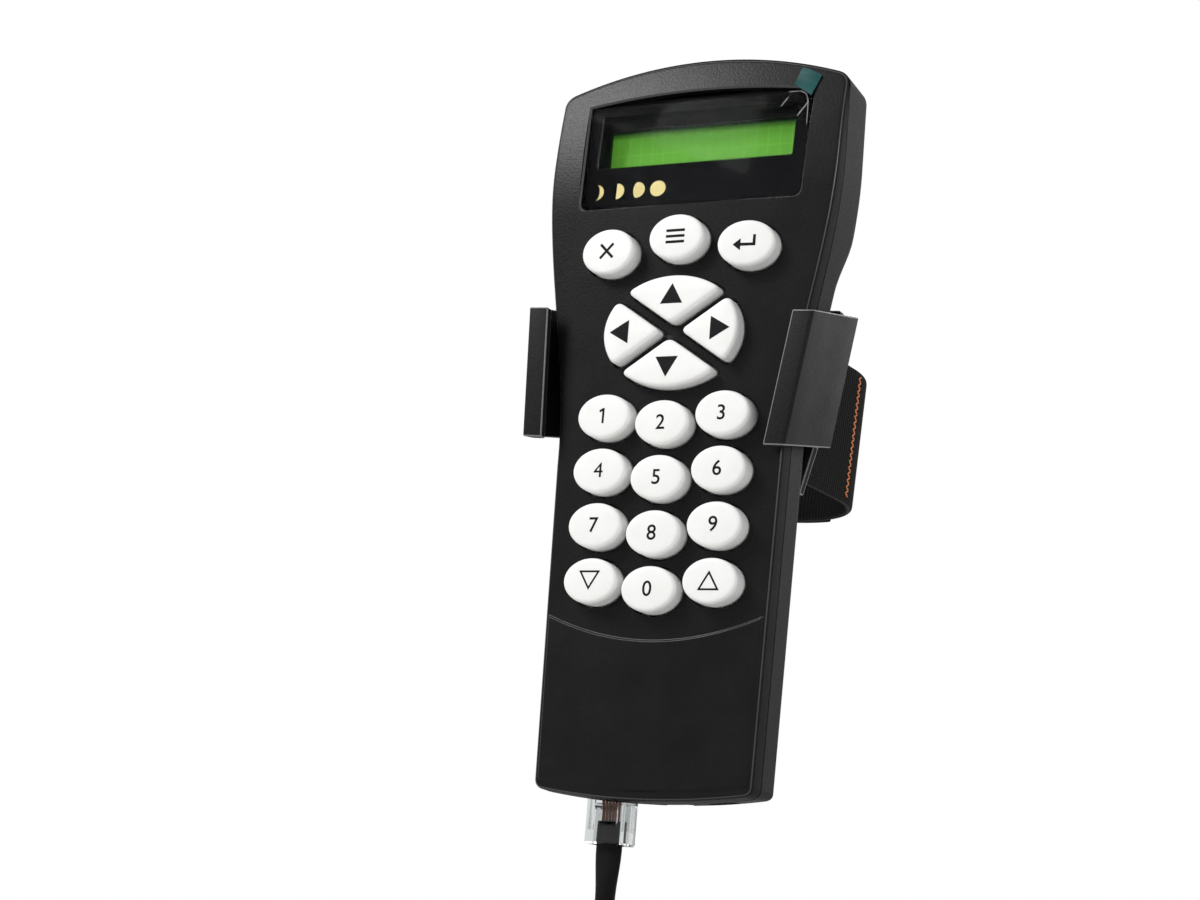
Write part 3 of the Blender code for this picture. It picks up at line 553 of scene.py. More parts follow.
@dataclass(frozen=True)
class DisplayGlow:
    """Yellow-green character display with a faint lattice of cells, a painted shadow along its upper edge and a glow
    that is painted light.
    """

    name: str = "display_green"
    field: Colour = (0.115, 0.36, 0.033)
    cell: Colour = (0.097, 0.325, 0.028)
    # shade is the colour of the painted shadow that the display fades to towards its upper edge, where the tunnel's
    # top wall would shade it.
    shade: Colour = (0.006, 0.020, 0.008)
    # The glow is painted light: emission that stands in for lamp light which the clear window keeps off the display.
    glow: float = 0.22
    cell_size: Flat = (2.95, 5.2)
    painted_shadow_up: Flat = (71.2, 72.9)

    def make(self) -> bpy.types.Material:
        """Build the material."""
        bench = NodeBench(self.name)
        bench.set({"Roughness": 0.4, "Specular IOR Level": 0.1, "Emission Strength": self.glow})
        bricks = bench.add("ShaderNodeTexBrick", {"Scale": 1.0 / MM, "Mortar Size": 0.22,
                                                  "Brick Width": self.cell_size[0],
                                                  "Row Height": self.cell_size[1]}, offset=0.0)
        turned = bench.add("ShaderNodeMapping", {"Rotation": (math.radians(-90.0), 0.0, 0.0)})
        bench.wire(bench.add("ShaderNodeTexCoord").outputs["Object"], turned, "Vector")
        bench.wire(turned.outputs["Vector"], bricks, "Vector")
        cells = bench.mix(bricks.outputs["Fac"], self.cell, self.field)
        split = bench.add("ShaderNodeSeparateXYZ")
        bench.wire(bench.coords(), split, 0)
        # Painted shadow: over the band below the top edge the colour fades to the shade colour, in both the base and
        # the emission colour.
        low, high = ((up - CRADLE_UP) * MM for up in self.painted_shadow_up)
        painted_shadow_mix = bench.add("ShaderNodeMix", {7: (*self.shade, 1.0)}, data_type="RGBA")
        bench.wire(bench.between(split.outputs["Z"], 0.0, 1.0, low, high), painted_shadow_mix, 0)
        bench.wire(cells, painted_shadow_mix, 6)
        for socket in ("Base Color", "Emission Color"):
            bench.wire(painted_shadow_mix.outputs[2], bench.shader, socket)
        bench.bump(bench.noise(bench.coords(), 6.0, 2.0), 0.01, 0.3)
        return bench.material


@dataclass(frozen=True)
class CoatedSheet:
    """Bent sheet with a textured black coat."""

    name: str
    dark: Colour
    light: Colour
    roughness: Flat = (0.5, 0.56)
    specular: float = 0.1
    speckle: float = 0.55

    def make(self) -> bpy.types.Material:
        """Build the material."""
        bench = NodeBench(self.name)
        bench.set({"Specular IOR Level": self.specular})
        coords = bench.coords()
        speck = bench.noise(coords, self.speckle, 3.0, 0.6)
        bench.tint(bench.between(speck, 0.0, 1.0, 0.35, 0.7), self.dark, self.light)
        bench.wire(bench.between(bench.noise(coords, 7.0, 3.0), *self.roughness), bench.shader,
                   "Roughness")
        bench.bump(speck, 0.07, 0.7)
        return bench.material


@dataclass(frozen=True)
class Webbing:
    """Woven band: threads that cross the ribs, with a dull fibre sheen."""

    name: str = "strap_webbing"
    dark: Colour = (0.004, 0.004, 0.004)
    light: Colour = (0.018, 0.017, 0.016)
    thread: float = 0.55

    def make(self) -> bpy.types.Material:
        """Build the material."""
        bench = NodeBench(self.name)
        bench.set({"Roughness": 0.85, "Specular IOR Level": 0.1, "Sheen Weight": 0.04,
                   "Sheen Roughness": 0.5})
        coords = bench.coords()
        wave = bench.add("ShaderNodeTexWave", {"Scale": 0.32 / (self.thread * MM), "Distortion": 1.5,
                                               "Detail": 2.0, "Detail Scale": 2.0}, bands_direction="Z")
        bench.wire(coords, wave, "Vector")
        fuzz = bench.noise(coords, 0.3, 3.0)
        mixed = bench.add("ShaderNodeMath", operation="MULTIPLY")
        bench.wire(wave.outputs["Fac"], mixed, 0)
        bench.wire(fuzz, mixed, 1)
        bench.tint(bench.between(mixed.outputs["Value"], 0.0, 1.0, 0.1, 0.6), self.dark, self.light)
        bench.bump(wave.outputs["Fac"], 0.10, 0.7)
        bench.bump(fuzz, 0.05, 0.5)
        return bench.material


@dataclass(frozen=True)
class Thread:
    """Twisted sewing thread."""

    name: str = "orange_thread"
    dark: Colour = (0.50, 0.13, 0.03)
    light: Colour = (0.82, 0.33, 0.14)

    def make(self) -> bpy.types.Material:
        """Build the material."""
        bench = NodeBench(self.name)
        bench.set({"Roughness": 0.7, "Specular IOR Level": 0.3})
        twist = bench.noise(bench.coords("Object", (1.0, 1.0, 2.5)), 0.3, 2.0)
        bench.tint(bench.between(twist, 0.0, 1.0), self.dark, self.light)
        bench.bump(twist, 0.05, 0.6)
        return bench.material


@dataclass(frozen=True)
class PlainMetal:
    """Plated or brushed metal with fine handling marks."""

    name: str
    colour: Colour
    roughness: Flat

    def make(self) -> bpy.types.Material:
        """Build the material."""
        bench = NodeBench(self.name)
        bench.set({"Metallic": 1.0})
        coords = bench.coords()
        marks = bench.noise(coords, 0.8, 4.0)
        bench.tint(bench.between(marks, 0.0, 1.0), self.colour, tuple(value * 0.8 for value in self.colour))
        bench.wire(bench.between(marks, *self.roughness), bench.shader, "Roughness")
        bench.bump(marks, 0.01, 0.4)
        return bench.material


class NodeSet:
    """Geometry node tree with named inputs, run once on a piece and turned into a plain mesh."""

    def __init__(self, name: str) -> None:
        """Start a tree with a geometry input and output."""
        self.tree = bpy.data.node_groups.new(name, "GeometryNodeTree")
        self.tree.interface.new_socket("Geometry", in_out="INPUT", socket_type="NodeSocketGeometry")
        self.tree.interface.new_socket("Geometry", in_out="OUTPUT", socket_type="NodeSocketGeometry")
        self.named: dict[str, str] = {}
        self.start = self.tree.nodes.new("NodeGroupInput")
        self.stop = self.tree.nodes.new("NodeGroupOutput")

    def socket(self, name: str, kind: str) -> None:
        """Add a named input of a socket type."""
        made = self.tree.interface.new_socket(name, in_out="INPUT", socket_type=kind)
        self.named[name] = made.identifier

    def add(self, kind: str, links: dict[str | int, bpy.types.NodeSocket] | None = None,
            **settings: Any) -> bpy.types.Node:
        """Add a node with links into its inputs."""
        node = self.tree.nodes.new(kind)
        for name, value in settings.items():
            setattr(node, name, value)
        for socket, link in (links or {}).items():
            self.tree.links.new(link, node.inputs[socket])
        return node

    def close(self, geometry: bpy.types.NodeSocket, look: bpy.types.NodeSocket) -> None:
        """End the tree in realised instances with their material."""
        real = self.add("GeometryNodeRealizeInstances", {"Geometry": geometry})
        soft = self.add("GeometryNodeSetShadeSmooth", {"Geometry": real.outputs[0]})
        dressed = self.add("GeometryNodeSetMaterial", {"Geometry": soft.outputs[0], "Material": look})
        self.tree.links.new(dressed.outputs[0], self.stop.inputs[0])

    def run(self, piece: bpy.types.Object, values: dict[str, Any], crease: float = 35.0) -> None:
        """Run the tree on a piece with values for its named inputs."""
        change = piece.modifiers.new("nodes", "NODES")
        change.node_group = self.tree
        for name, value in values.items():
            change[self.named[name]] = value
        swap_mesh(piece, evaluated_mesh(piece))
        soften(piece, crease)


def copies_tree() -> NodeSet:
    """Tree that sets a copy of one shape on every point."""
    made = NodeSet("copies_on_points")
    made.socket("Shape", "NodeSocketObject")
    made.socket("Look", "NodeSocketMaterial")
    shape = made.add("GeometryNodeObjectInfo", {"Object": made.start.outputs["Shape"]})
    copies = made.add("GeometryNodeInstanceOnPoints", {"Points": made.start.outputs["Geometry"],
                                                       "Instance": shape.outputs["Geometry"]})
    made.close(copies.outputs[0], made.start.outputs["Look"])
    return made


def stitch_tree() -> NodeSet:
    """Tree that sets one stitch on every point, turned along the point's stored direction."""
    made = NodeSet("stitch_row")
    made.socket("Thread Size", "NodeSocketVector")
    made.socket("Look", "NodeSocketMaterial")
    way = made.add("GeometryNodeInputNamedAttribute", data_type="FLOAT_VECTOR")
    way.inputs["Name"].default_value = "way"
    turn = made.add("FunctionNodeAlignRotationToVector", {"Vector": way.outputs["Attribute"]}, axis="Z")
    ball = made.add("GeometryNodeMeshIcoSphere")
    ball.inputs["Radius"].default_value = 1.0
    ball.inputs["Subdivisions"].default_value = 2
    copies = made.add("GeometryNodeInstanceOnPoints",
                      {"Points": made.start.outputs["Geometry"], "Instance": ball.outputs["Mesh"],
                       "Rotation": turn.outputs["Rotation"], "Scale": made.start.outputs["Thread Size"]})
    made.close(copies.outputs[0], made.start.outputs["Look"])
    return made


def point_cloud(name: str, points: Sequence[Point]) -> bpy.types.Object:
    """Mesh of loose points for a node tree to work on."""
    mesh = bpy.data.meshes.new(name)
    mesh.from_pydata([place(*point) for point in points], [], [])
    piece = bpy.data.objects.new(name, mesh)
    bpy.context.scene.collection.objects.link(piece)
    return piece


def copies_of(name: str, shape: bpy.types.Object, points: Sequence[Point],
              look: bpy.types.Material) -> bpy.types.Object:
    """Set copies of a shape, which is used up, on points.

    Args:
        name: Name of the new piece.
        shape: Shape built about the frame's origin.
        points: Places in design coordinates.
        look: Material of the copies.

    Returns:
        One piece with every copy in it.
    """
    piece = point_cloud(name, points)
    copies_tree().run(piece, {"Shape": shape, "Look": look})
    used = shape.data
    bpy.data.objects.remove(shape)
    bpy.data.meshes.remove(used)
    return piece


@dataclass
class Housing:
    """Front and rear shells: wide head, narrow grip and a raised, blank lower end."""

    grip_half: Flat = (26.4, 27.9)
    grip_reach: Flat = (-80.0, -10.0)
    head_half: float = 36.2
    flare: Flat = (-8.0, 62.0)
    top_up: float = 87.0
    top_radius: float = 104.0
    bottom_up: float = -85.6
    bottom_radius: float = 165.0
    top_corner: Flat = (77.6, 33.4)
    bottom_corner: Flat = (-81.3, 24.0)
    crown: float = 0.0012
    fall_from: float = 50.0
    fall_radius: float = 140.0
    parting: float = -5.3
    thick: Flat = (17.5, 21.5)
    ramp: Flat = (32.0, 46.0)
    back_round: float = 4.5
    draft: float = 0.6
    wall: float = 2.2
    skin: float = 2.4
    smile_end: Flat = (26.4, -44.6)
    smile_sag: float = 5.8
    raise_height: float = 0.45
    screw_places: tuple[Flat, ...] = ((-28.0, 44.0), (28.0, 44.0), (-19.6, -62.0), (19.6, -62.0))
    post_radius: float = 3.4
    post_meet: float = -7.7
    shank_radius: float = 1.25
    head_radius: float = 2.6
    head_tall: float = 1.8
    sink_deep: float = 2.6

    def half_width(self, up: float) -> float:
        """Half the housing's width at a height."""
        low, high = self.grip_reach
        share = (min(up, high) - low) / (high - low)
        grip = self.grip_half[0] + (self.grip_half[1] - self.grip_half[0]) * share
        wide = smooth((up - self.flare[0]) / (self.flare[1] - self.flare[0]))
        return grip + (self.head_half - self.grip_half[1]) * wide

    def top_edge(self, across: float) -> float:
        """Height of the arched top."""
        return self.top_up - self.top_radius + math.sqrt(self.top_radius ** 2 - across ** 2)

    def bottom_edge(self, across: float) -> float:
        """Height of the curved lower end."""
        return self.bottom_up + self.bottom_radius - math.sqrt(self.bottom_radius ** 2 - across ** 2)

    def side_shares(self) -> list[float]:
        """Stations along the straight sides as shares of their length, close together at the smile."""
        low, high = self.bottom_corner[0], self.top_corner[0]
        stations = [up for up in spread(low, high, 76)[1:-1] if abs(up - self.smile_end[1]) > 1.5]
        stations += [self.smile_end[1] + step
                     for step in (-1.2, -0.8, -0.65, -0.5, -0.35, -0.2, -0.05, 0.1, 0.2, 0.6, 1.2)]
        return [(up - low) / (high - low) for up in sorted(stations)]

    def outline(self, draw: float = 0.0) -> list[Flat]:
        """Anticlockwise outline as seen from the front.

        Args:
            draw: Distance by which it is drawn in.

        Returns:
            Points that start at the middle of the lower end; point i mirrors point -i.
        """
        low_half = self.half_width(self.bottom_corner[0]) - draw
        low_corner = (low_half, self.bottom_edge(low_half) + draw)
        low_across = min(self.bottom_corner[1], low_half - 0.8)
        low_up = max(self.bottom_corner[0], low_corner[1] + 0.8)
        high_half = self.head_half - draw
        high_corner = (high_half, self.top_edge(high_half) - draw)
        high_across = min(self.top_corner[1], high_half - 0.8)
        high_up = min(self.top_corner[0], high_corner[1] - 0.8)
        right = [(across, self.bottom_edge(across) + draw) for across in spread(0.0, low_across, 14)[1:-1]]
        right += soft_corner((low_across, self.bottom_edge(low_across) + draw), low_corner,
                             (low_half, low_up), 12)
        heights = [low_up + (high_up - low_up) * share for share in self.side_shares()]
        right += [(self.half_width(up) - draw, up) for up in heights]
        right += soft_corner((high_half, high_up), high_corner,
                             (high_across, self.top_edge(high_across) - draw), 14)
        right += [(across, self.top_edge(across) - draw) for across in spread(high_across, 0.0, 20)[1:-1]]
        left = [(-across, up) for across, up in reversed(right)]
        return [(0.0, self.bottom_up + draw)] + right + [(0.0, self.top_up - draw)] + left

    def face_out(self, across: float, up: float) -> float:
        """Height of the crowned front face, which falls away towards the head's top."""
        fall = max(0.0, up - self.fall_from) ** 2 / (2.0 * self.fall_radius)
        return -self.crown * across * across - fall

    def back_out(self, up: float) -> float:
        """Height of the rear face, deeper behind the head."""
        rise = smooth((up - self.ramp[0]) / (self.ramp[1] - self.ramp[0]))
        return -(self.thick[0] + (self.thick[1] - self.thick[0]) * rise)

    def smile(self, across: float) -> float:
        """Rise of the smile-shaped step above its lowest point."""
        return self.smile_sag * (across / self.smile_end[0]) ** 2

    def face_point(self, edge: Point, share: float, drop: float) -> Point:
        """Point of the face on the row that starts at an edge point.

        Args:
            edge: Point on the face's rim.
            share: Place along the row, 1 at the rim and 0 in the middle.
            drop: Depth below the face; an inner face has no raised end.

        Returns:
            The point in design coordinates.
        """
        rim, level, _ = edge
        across = rim * share
        delta = level - self.smile_end[1]
        pull = max(0.0, 1.0 - (delta / 20.0) ** 2) ** 2
        up = level + pull * (self.smile(across) - self.smile(rim))
        out = self.face_out(across, up) - drop
        if drop == 0.0:
            step = 1.0 - smooth((delta + 0.5) / 0.55)
            side = smooth((abs(rim) - abs(across)) / 0.5)
            foot = smooth((up - self.bottom_edge(across) - 2.0) / 0.5)
            out += self.raise_height * step * side * foot
        return across, up, out

    def close_rows(self, skin: Skin, loop: list[bmesh.types.BMVert], ring: list[Point],
                   shares: Sequence[float], point: Callable[[Point, float], Point]) -> None:
        """Close a shell's last ring by rows across it.

        Args:
            skin: Mesh under construction.
            loop: Points of the ring in the mesh.
            ring: The same points in design coordinates.
            shares: Places along a row between the ring's two sides.
            point: Gives the point at a share of the row that starts at an edge point.
        """
        half = len(ring) // 2
        rows = []
        for index in range(1, half):
            inside = skin.ring([point(ring[index], share) for share in shares])
            rows.append([loop[index]] + inside + [loop[-index]])
        for lower, upper in zip(rows, rows[1:]):
            skin.bridge(lower, upper, around=False)
        for tip, row in ((loop[0], rows[0]), (loop[half], rows[-1])):
            for first, second in zip(row, row[1:]):
                skin.mesh.faces.new((tip, first, second))

    def row_shares(self) -> list[float]:
        """Places along a row, close together near the rim."""
        insets = (0.35, 0.5, 0.65, 0.85, 1.3, 2.2, 3.6, 5.6, 8.0, 10.6, 13.2, 15.8, 18.4, 21.0, 23.4)
        right = [1.0 - inset / 25.5 for inset in insets]
        return right + [0.0] + [-share for share in reversed(right)]

    def shell(self, name: str, outer: list[list[Point]], inner: list[list[Point]],
              outer_point: Callable[[Point, float], Point], inner_point: Callable[[Point, float], Point],
              look: bpy.types.Material, glossy_highlighted: Sequence[int] = ()) -> bpy.types.Object:
        """Hollow shell whose outer and inner rings both run from their rim to their face.

        Args:
            name: Name of the piece.
            outer: Outer rings.
            inner: Inner rings.
            outer_point: Closes the outer face.
            inner_point: Closes the inner face.
            look: Its material.
            glossy_highlighted: Gaps between outer rings, counted from the face, that take the second material, a
                glossier plastic whose lighter colour is a painted highlight.

        Returns:
            The shell.
        """
        skin = Skin()
        rings = outer[::-1] + inner
        loops = [skin.ring(ring) for ring in rings]
        for index, (lower, upper) in enumerate(zip(loops, loops[1:])):
            for face in skin.bridge(lower, upper):
                # Faces in those gaps take the glossier plastic with the painted edge highlight.
                face.material_index = 1 if index in glossy_highlighted else 0
        self.close_rows(skin, loops[0], rings[0], self.row_shares(), outer_point)
        self.close_rows(skin, loops[-1], rings[-1], (0.6, 0.2, -0.2, -0.6), inner_point)
        return skin.done(name, look)

    def front_rings(self, draw: float, drop: float, steps: int) -> list[list[Point]]:
        """Rings from the parting rim over the rolled edge to the face."""
        rings = [raised(self.outline(draw + inset), self.parting + rise)
                 for inset, rise in ((0.12, 0.0), (0.0, 0.12))]
        for inset, below in soft_corner((0.15, 0.9), (0.25, 0.0), (1.0, 0.0), steps):
            ring = self.outline(draw + inset)
            rings.append([(across, up, self.face_out(across, up) - below - drop) for across, up in ring])
        return rings

    def rear_rings(self, draw: float, lift: float, steps: int) -> list[list[Point]]:
        """Rings from the parting rim down the side and round to the back."""
        radius = self.back_round - lift
        rings = [raised(self.outline(draw + inset), self.parting - GAP - fall)
                 for inset, fall in ((0.12, 0.0), (0.0, 0.12))]
        for turn in spread(0.0, math.pi / 2.0, steps):
            ring = self.outline(draw + self.draft + radius * (1.0 - math.cos(turn)))
            rise = radius * (1.0 - math.sin(turn)) + lift
            rings.append([(across, up, self.back_out(up) + rise) for across, up in ring])
        return rings

    def back_point(self, lift: float, edge: Point, share: float) -> Point:
        """Point of the rear face on the row that starts at an edge point."""
        return edge[0] * share, edge[1], self.back_out(edge[1]) + lift

    def front(self, walls: Sequence[bpy.types.Object], openings: Sequence[bpy.types.Object],
              looks: Sequence[bpy.types.Material]) -> bpy.types.Object:
        """Front shell with the window's seat, the display's tunnel and every opening.

        Args:
            walls: Tools that add to the shell.
            openings: Tools that cut it, in their order.
            looks: Materials of the shell, its glossier edges with a painted highlight, its tunnel, its step with a
                painted highlight, and its sides.

        Returns:
            The shell.
        """
        shell = self.shell("front_housing", self.front_rings(0.0, 0.0, 8),
                           self.front_rings(self.wall, self.skin, 3),
                           lambda edge, share: self.face_point(edge, share, 0.0),
                           lambda edge, share: self.face_point(edge, share, self.skin), looks[0], (2, 3))
        for look in looks[1:]:
            shell.data.materials.append(look)
        self.set_step_highlight_and_sides(shell)
        for tool in walls:
            carve(shell, tool, Cut.JOIN)
        for tool in openings:
            carve(shell, tool, Cut.AWAY)
        tidy_edges(shell)
        soften(shell)
        return settle(shell, Body.CONTROLLER.value, Slot.SHELL, "front_shell")

    def set_step_highlight_and_sides(self, shell: bpy.types.Object) -> None:
        """Give the step at the raised lower end's upper edge its plastic with a painted highlight, and the sides
        their material.
        """
        for face in shell.data.polygons:
            across, up, out = face.center.x / MM, face.center.z / MM + CRADLE_UP, -face.center.y / MM - FACE_DEPTH
            raised_end = up < self.smile_end[1] + 1.0 and out > self.face_out(across, up) - 0.1
            if raised_end and face.normal.z > 0.25 and -0.97 < face.normal.y < -0.3:
                # Up-facing step faces take the plastic whose lighter colour paints a highlight along the step.
                face.material_index = 3
            elif abs(face.normal.y) < 0.3:
                face.material_index = 4

    def rear(self, mouths: Skin, look: bpy.types.Material, sides: bpy.types.Material) -> bpy.types.Object:
        """Rear shell with its screw posts and the openings for screws and jacks."""
        shell = self.shell("rear_housing", self.rear_rings(0.0, 0.0, 10),
                           self.rear_rings(self.wall, self.wall, 4),
                           partial(self.back_point, 0.0), partial(self.back_point, self.wall), look)
        shell.data.materials.append(sides)
        for face in shell.data.polygons:
            face.material_index = 1 if abs(face.normal.y) < 0.3 else 0
        posts = Skin()
        for across, up in self.screw_places:
            ring = oval(across, up, (self.post_radius,) * 2, 32)
            posts.loft((raised(ring, self.back_out(up) + 1.0), raised(ring, self.post_meet)))
            hole = oval(across, up, (self.shank_radius + GAP,) * 2, 32)
            sink = oval(across, up, (self.head_radius + GAP,) * 2, 32)
            lip = oval(across, up, (self.head_radius + GAP + 0.4,) * 2, 32)
            back, seat = self.back_out(up), self.back_out(up) + self.sink_deep
            mouths.loft((raised(lip, back - 2.0), raised(lip, back), raised(sink, back + 0.4),
                         raised(sink, seat), raised(hole, seat), raised(hole, self.post_meet + 1.0)))
        carve(shell, posts.done("post_tool"), Cut.JOIN)
        carve(shell, mouths.done("mouth_tool"), Cut.AWAY)
        tidy_edges(shell)
        soften(shell)
        return settle(shell, Body.CONTROLLER.value, Slot.SHELL, "rear_shell")

    def screws(self, steel: bpy.types.Material) -> bpy.types.Object:
        """Pan-head screws with a cross recess, all in one piece."""
        crown = Skin()
        stages = ((self.head_radius * 0.55, -1.0), (self.head_radius * 0.85, -0.86),
                  (self.head_radius, -0.5), (self.head_radius, 0.0))
        rings = [raised(oval(0.0, 0.0, (radius, radius), 32), out * self.head_tall)
                 for radius, out in stages]
        rings += [raised(oval(0.0, 0.0, (self.shank_radius,) * 2, 32), out) for out in (0.0, 8.6)]
        crown.loft(rings)
        screw = crown.done("screw_shape")
        quarter = ((0.38, -1.45), (0.38, -0.38), (1.45, -0.38))
        arms = [(across * cos - up * sin, across * sin + up * cos)
                for cos, sin in ((1, 0), (0, 1), (-1, 0), (0, -1)) for across, up in quarter]
        cross = Skin()
        cross.loft([raised([(across * share, up * share) for across, up in arms], out - self.head_tall)
                    for share, out in ((1.0, -0.5), (0.7, 0.95))])
        carve(screw, cross.done("cross_tool"), Cut.AWAY)
        origin = place(0.0, 0.0, 0.0)
        screw.data.transform(Matrix.Translation(-origin))
        seats = [(across, up, self.back_out(up) + self.sink_deep - GAP) for across, up in self.screw_places]
        piece = copies_of("case_screws", screw, seats, steel)
        return settle(piece, Body.CONTROLLER.value, Slot.SCREW,
                      *("case_screw_%d" % number for number in (1, 2, 3, 4)))


@dataclass(frozen=True)
class Key:
    """One rubber key: its outline for a given shrink, its centre, sideways lean and height."""

    label: str
    shape: Shape
    centre: Flat
    lean: float
    tall: float


@dataclass
class KeyPad:
    """Nineteen rubber keys with their printed marks."""

    housing: Housing
    columns: float = 14.5
    rows: float = 12.55
    middle_drop: float = 1.85
    number_half: Flat = (6.6, 5.15)
    head_half: Flat = (6.8, 5.4)
    head_lean: float = 5.0
    pad_up: float = 19.55
    pad_half: Flat = (16.6, 13.0)
    pad_split: float = 34.0
    channel: float = 2.7
    tall: float = 4.0
    pad_tall: float = 3.4
    foot: float = -4.4
    flange: float = 0.55
    number_rows: tuple[tuple[str, ...], ...] = (("1", "2", "3"), ("4", "5", "6"), ("7", "8", "9"),
                                                ("scroll_down", "0", "scroll_up"))
    head_keys: tuple[tuple[str, float, float], ...] = (("back", -17.2, 39.0), ("menu", 0.0, 41.4),
                                                       ("enter", 17.2, 39.0))
    digit_tall: float = 3.5
    ink_lift: float = 0.03

    def oval_shape(self, across: float, up: float, half: Flat, shrink: float) -> list[Flat]:
        """Oval key outline, drawn in by a distance."""
        return oval(across, up, (half[0] - shrink, half[1] - shrink))

    def quarter(self, middle: float, reach_turn: float, shrink: float) -> list[Flat]:
        """Rounded quarter of the arrow pad.

        Args:
            middle: Direction of its middle.
            reach_turn: Angle from the middle to each diagonal channel.
            shrink: Distance by which the outline is drawn in.

        Returns:
            The outline.
        """
        half = (self.pad_half[0] - shrink, self.pad_half[1] - shrink)
        tip = (self.channel / 2.0 + shrink) / math.sin(reach_turn)
        centre = Vector((math.cos(middle), math.sin(middle))) * tip
        first, last = (self.leave_turn(centre, middle + side * reach_turn, half) for side in (-1.0, 1.0))
        if last < first:
            last += 2.0 * math.pi
        turns = spread(first + 0.10, last - 0.10, 24)
        arc = [(half[0] * math.cos(turn), half[1] * math.sin(turn)) for turn in turns]
        start, stop = (Vector((half[0] * math.cos(turn), half[1] * math.sin(turn)))
                       for turn in (first, last))
        reach = max(1.7 - 0.4 * shrink, 0.5)
        points = soft_corner(centre + (stop - centre).normalized() * reach, centre,
                             centre + (start - centre).normalized() * reach, 8)
        points += soft_corner(start + (centre - start).normalized() * reach, start, arc[0], 6)
        points += arc[1:-1]
        points += soft_corner(arc[-1], stop, stop + (centre - stop).normalized() * reach, 6)
        return [(across, self.pad_up + up) for across, up in points]

    def leave_turn(self, start: Vector, bearing: float, half: Flat) -> float:
        """Turn on an oval where a ray from a point inside it leaves."""
        ray = Vector((math.cos(bearing) / half[0], math.sin(bearing) / half[1]))
        base = Vector((start.x / half[0], start.y / half[1]))
        dot = base.dot(ray)
        reach = (-dot + math.sqrt(dot * dot - ray.dot(ray) * (base.dot(base) - 1.0))) / ray.dot(ray)
        return math.atan2(base.y + reach * ray.y, base.x + reach * ray.x)

    def keys(self) -> Iterator[Key]:
        """Every key."""
        for label, across, up in self.head_keys:
            lean = math.copysign(math.tan(math.radians(self.head_lean)), across) if across else 0.0
            yield Key(label, partial(self.oval_shape, across, up, self.head_half), (across, up), lean, self.tall)
        split, quarter = math.radians(self.pad_split), math.pi / 2.0
        for turn, label in enumerate(("right", "up", "left", "down")):
            reach = split if turn % 2 == 0 else quarter - split
            yield Key(label, partial(self.quarter, turn * quarter, reach), (0.0, self.pad_up), 0.0,
                      self.pad_tall)
        for row, labels in enumerate(self.number_rows):
            for column, label in enumerate(labels):
                across = (column - 1) * self.columns
                up = -row * self.rows - (self.middle_drop if column == 1 else 0.0)
                yield Key(label, partial(self.oval_shape, across, up, self.number_half), (across, up), 0.0,
                          self.tall)

    def holes(self, skin: Skin) -> None:
        """Add a tool for every key's opening, with a small chamfer at the face."""
        for key in self.keys():
            hole, lip = key.shape(-GAP), key.shape(-GAP - 0.35)
            skin.loft((raised(hole, self.foot - 2.0),
                       [(across, up, self.housing.face_out(across, up) - 0.32) for across, up in hole],
                       [(across, up, self.housing.face_out(across, up) + 0.03) for across, up in lip],
                       raised(lip, 6.0)))

    def cap(self, key: Key, look: bpy.types.Material) -> bpy.types.Object:
        """Key with a flange, straight sides, a soft shoulder and a slightly domed top."""
        base = self.housing.face_out(*key.centre)
        top = key.tall
        stages = [(-self.flange, self.foot), (-self.flange, self.foot + 1.1), (0.0, self.foot + 1.1),
                  (0.0, top - 1.3)]
        stages += soft_corner((0.0, top - 1.25), (0.03, top - 0.25), (0.85, top - 0.13), 8)
        stages += [(1.4, top - 0.095), (2.0, top - 0.06), (2.8, top - 0.025), (3.4, top - 0.005)]
        skin = Skin()
        loops = []
        for shrink, out in stages:
            slope = key.lean if out > 0.0 else 0.0
            loops.append(skin.ring([(across, up, base + out - slope * (across - key.centre[0]))
                                    for across, up in key.shape(shrink)]))
        for lower, upper in zip(loops, loops[1:]):
            skin.bridge(lower, upper)
        skin.mesh.faces.new(loops[0])
        last = key.shape(stages[-1][0])
        middle = tuple(sum(values) / len(last) for values in zip(*last))
        skin.fan(loops[-1], (*middle, base + top + 0.01 - key.lean * (middle[0] - key.centre[0])))
        piece = skin.done("rubber_key_" + key.label, look, 50.0)
        return settle(piece, "button_" + key.label, Slot.KEYS, "key_" + key.label)

    def digit(self, text: str, centre: Flat) -> bmesh.types.BMesh:
        """Flat outline of a digit about a centre, in design coordinates."""
        curve = bpy.data.curves.new("digit", "FONT")
        curve.body = text
        curve.size = self.digit_tall * 1.38
        curve.offset = 0.0 if text == "4" else 0.035
        sample = bpy.data.objects.new("digit", curve)
        bpy.context.scene.collection.objects.link(sample)
        mesh = evaluated_mesh(sample)
        bpy.data.objects.remove(sample)
        bpy.data.curves.remove(curve)
        flat = bmesh.new()
        flat.from_mesh(mesh)
        bpy.data.meshes.remove(mesh)
        spans = [(min(values), max(values)) for values in zip(*(vert.co[:2] for vert in flat.verts))]
        for vert in flat.verts:
            for axis, (low, high) in enumerate(spans):
                vert.co[axis] += centre[axis] - (low + high) / 2.0
        return flat

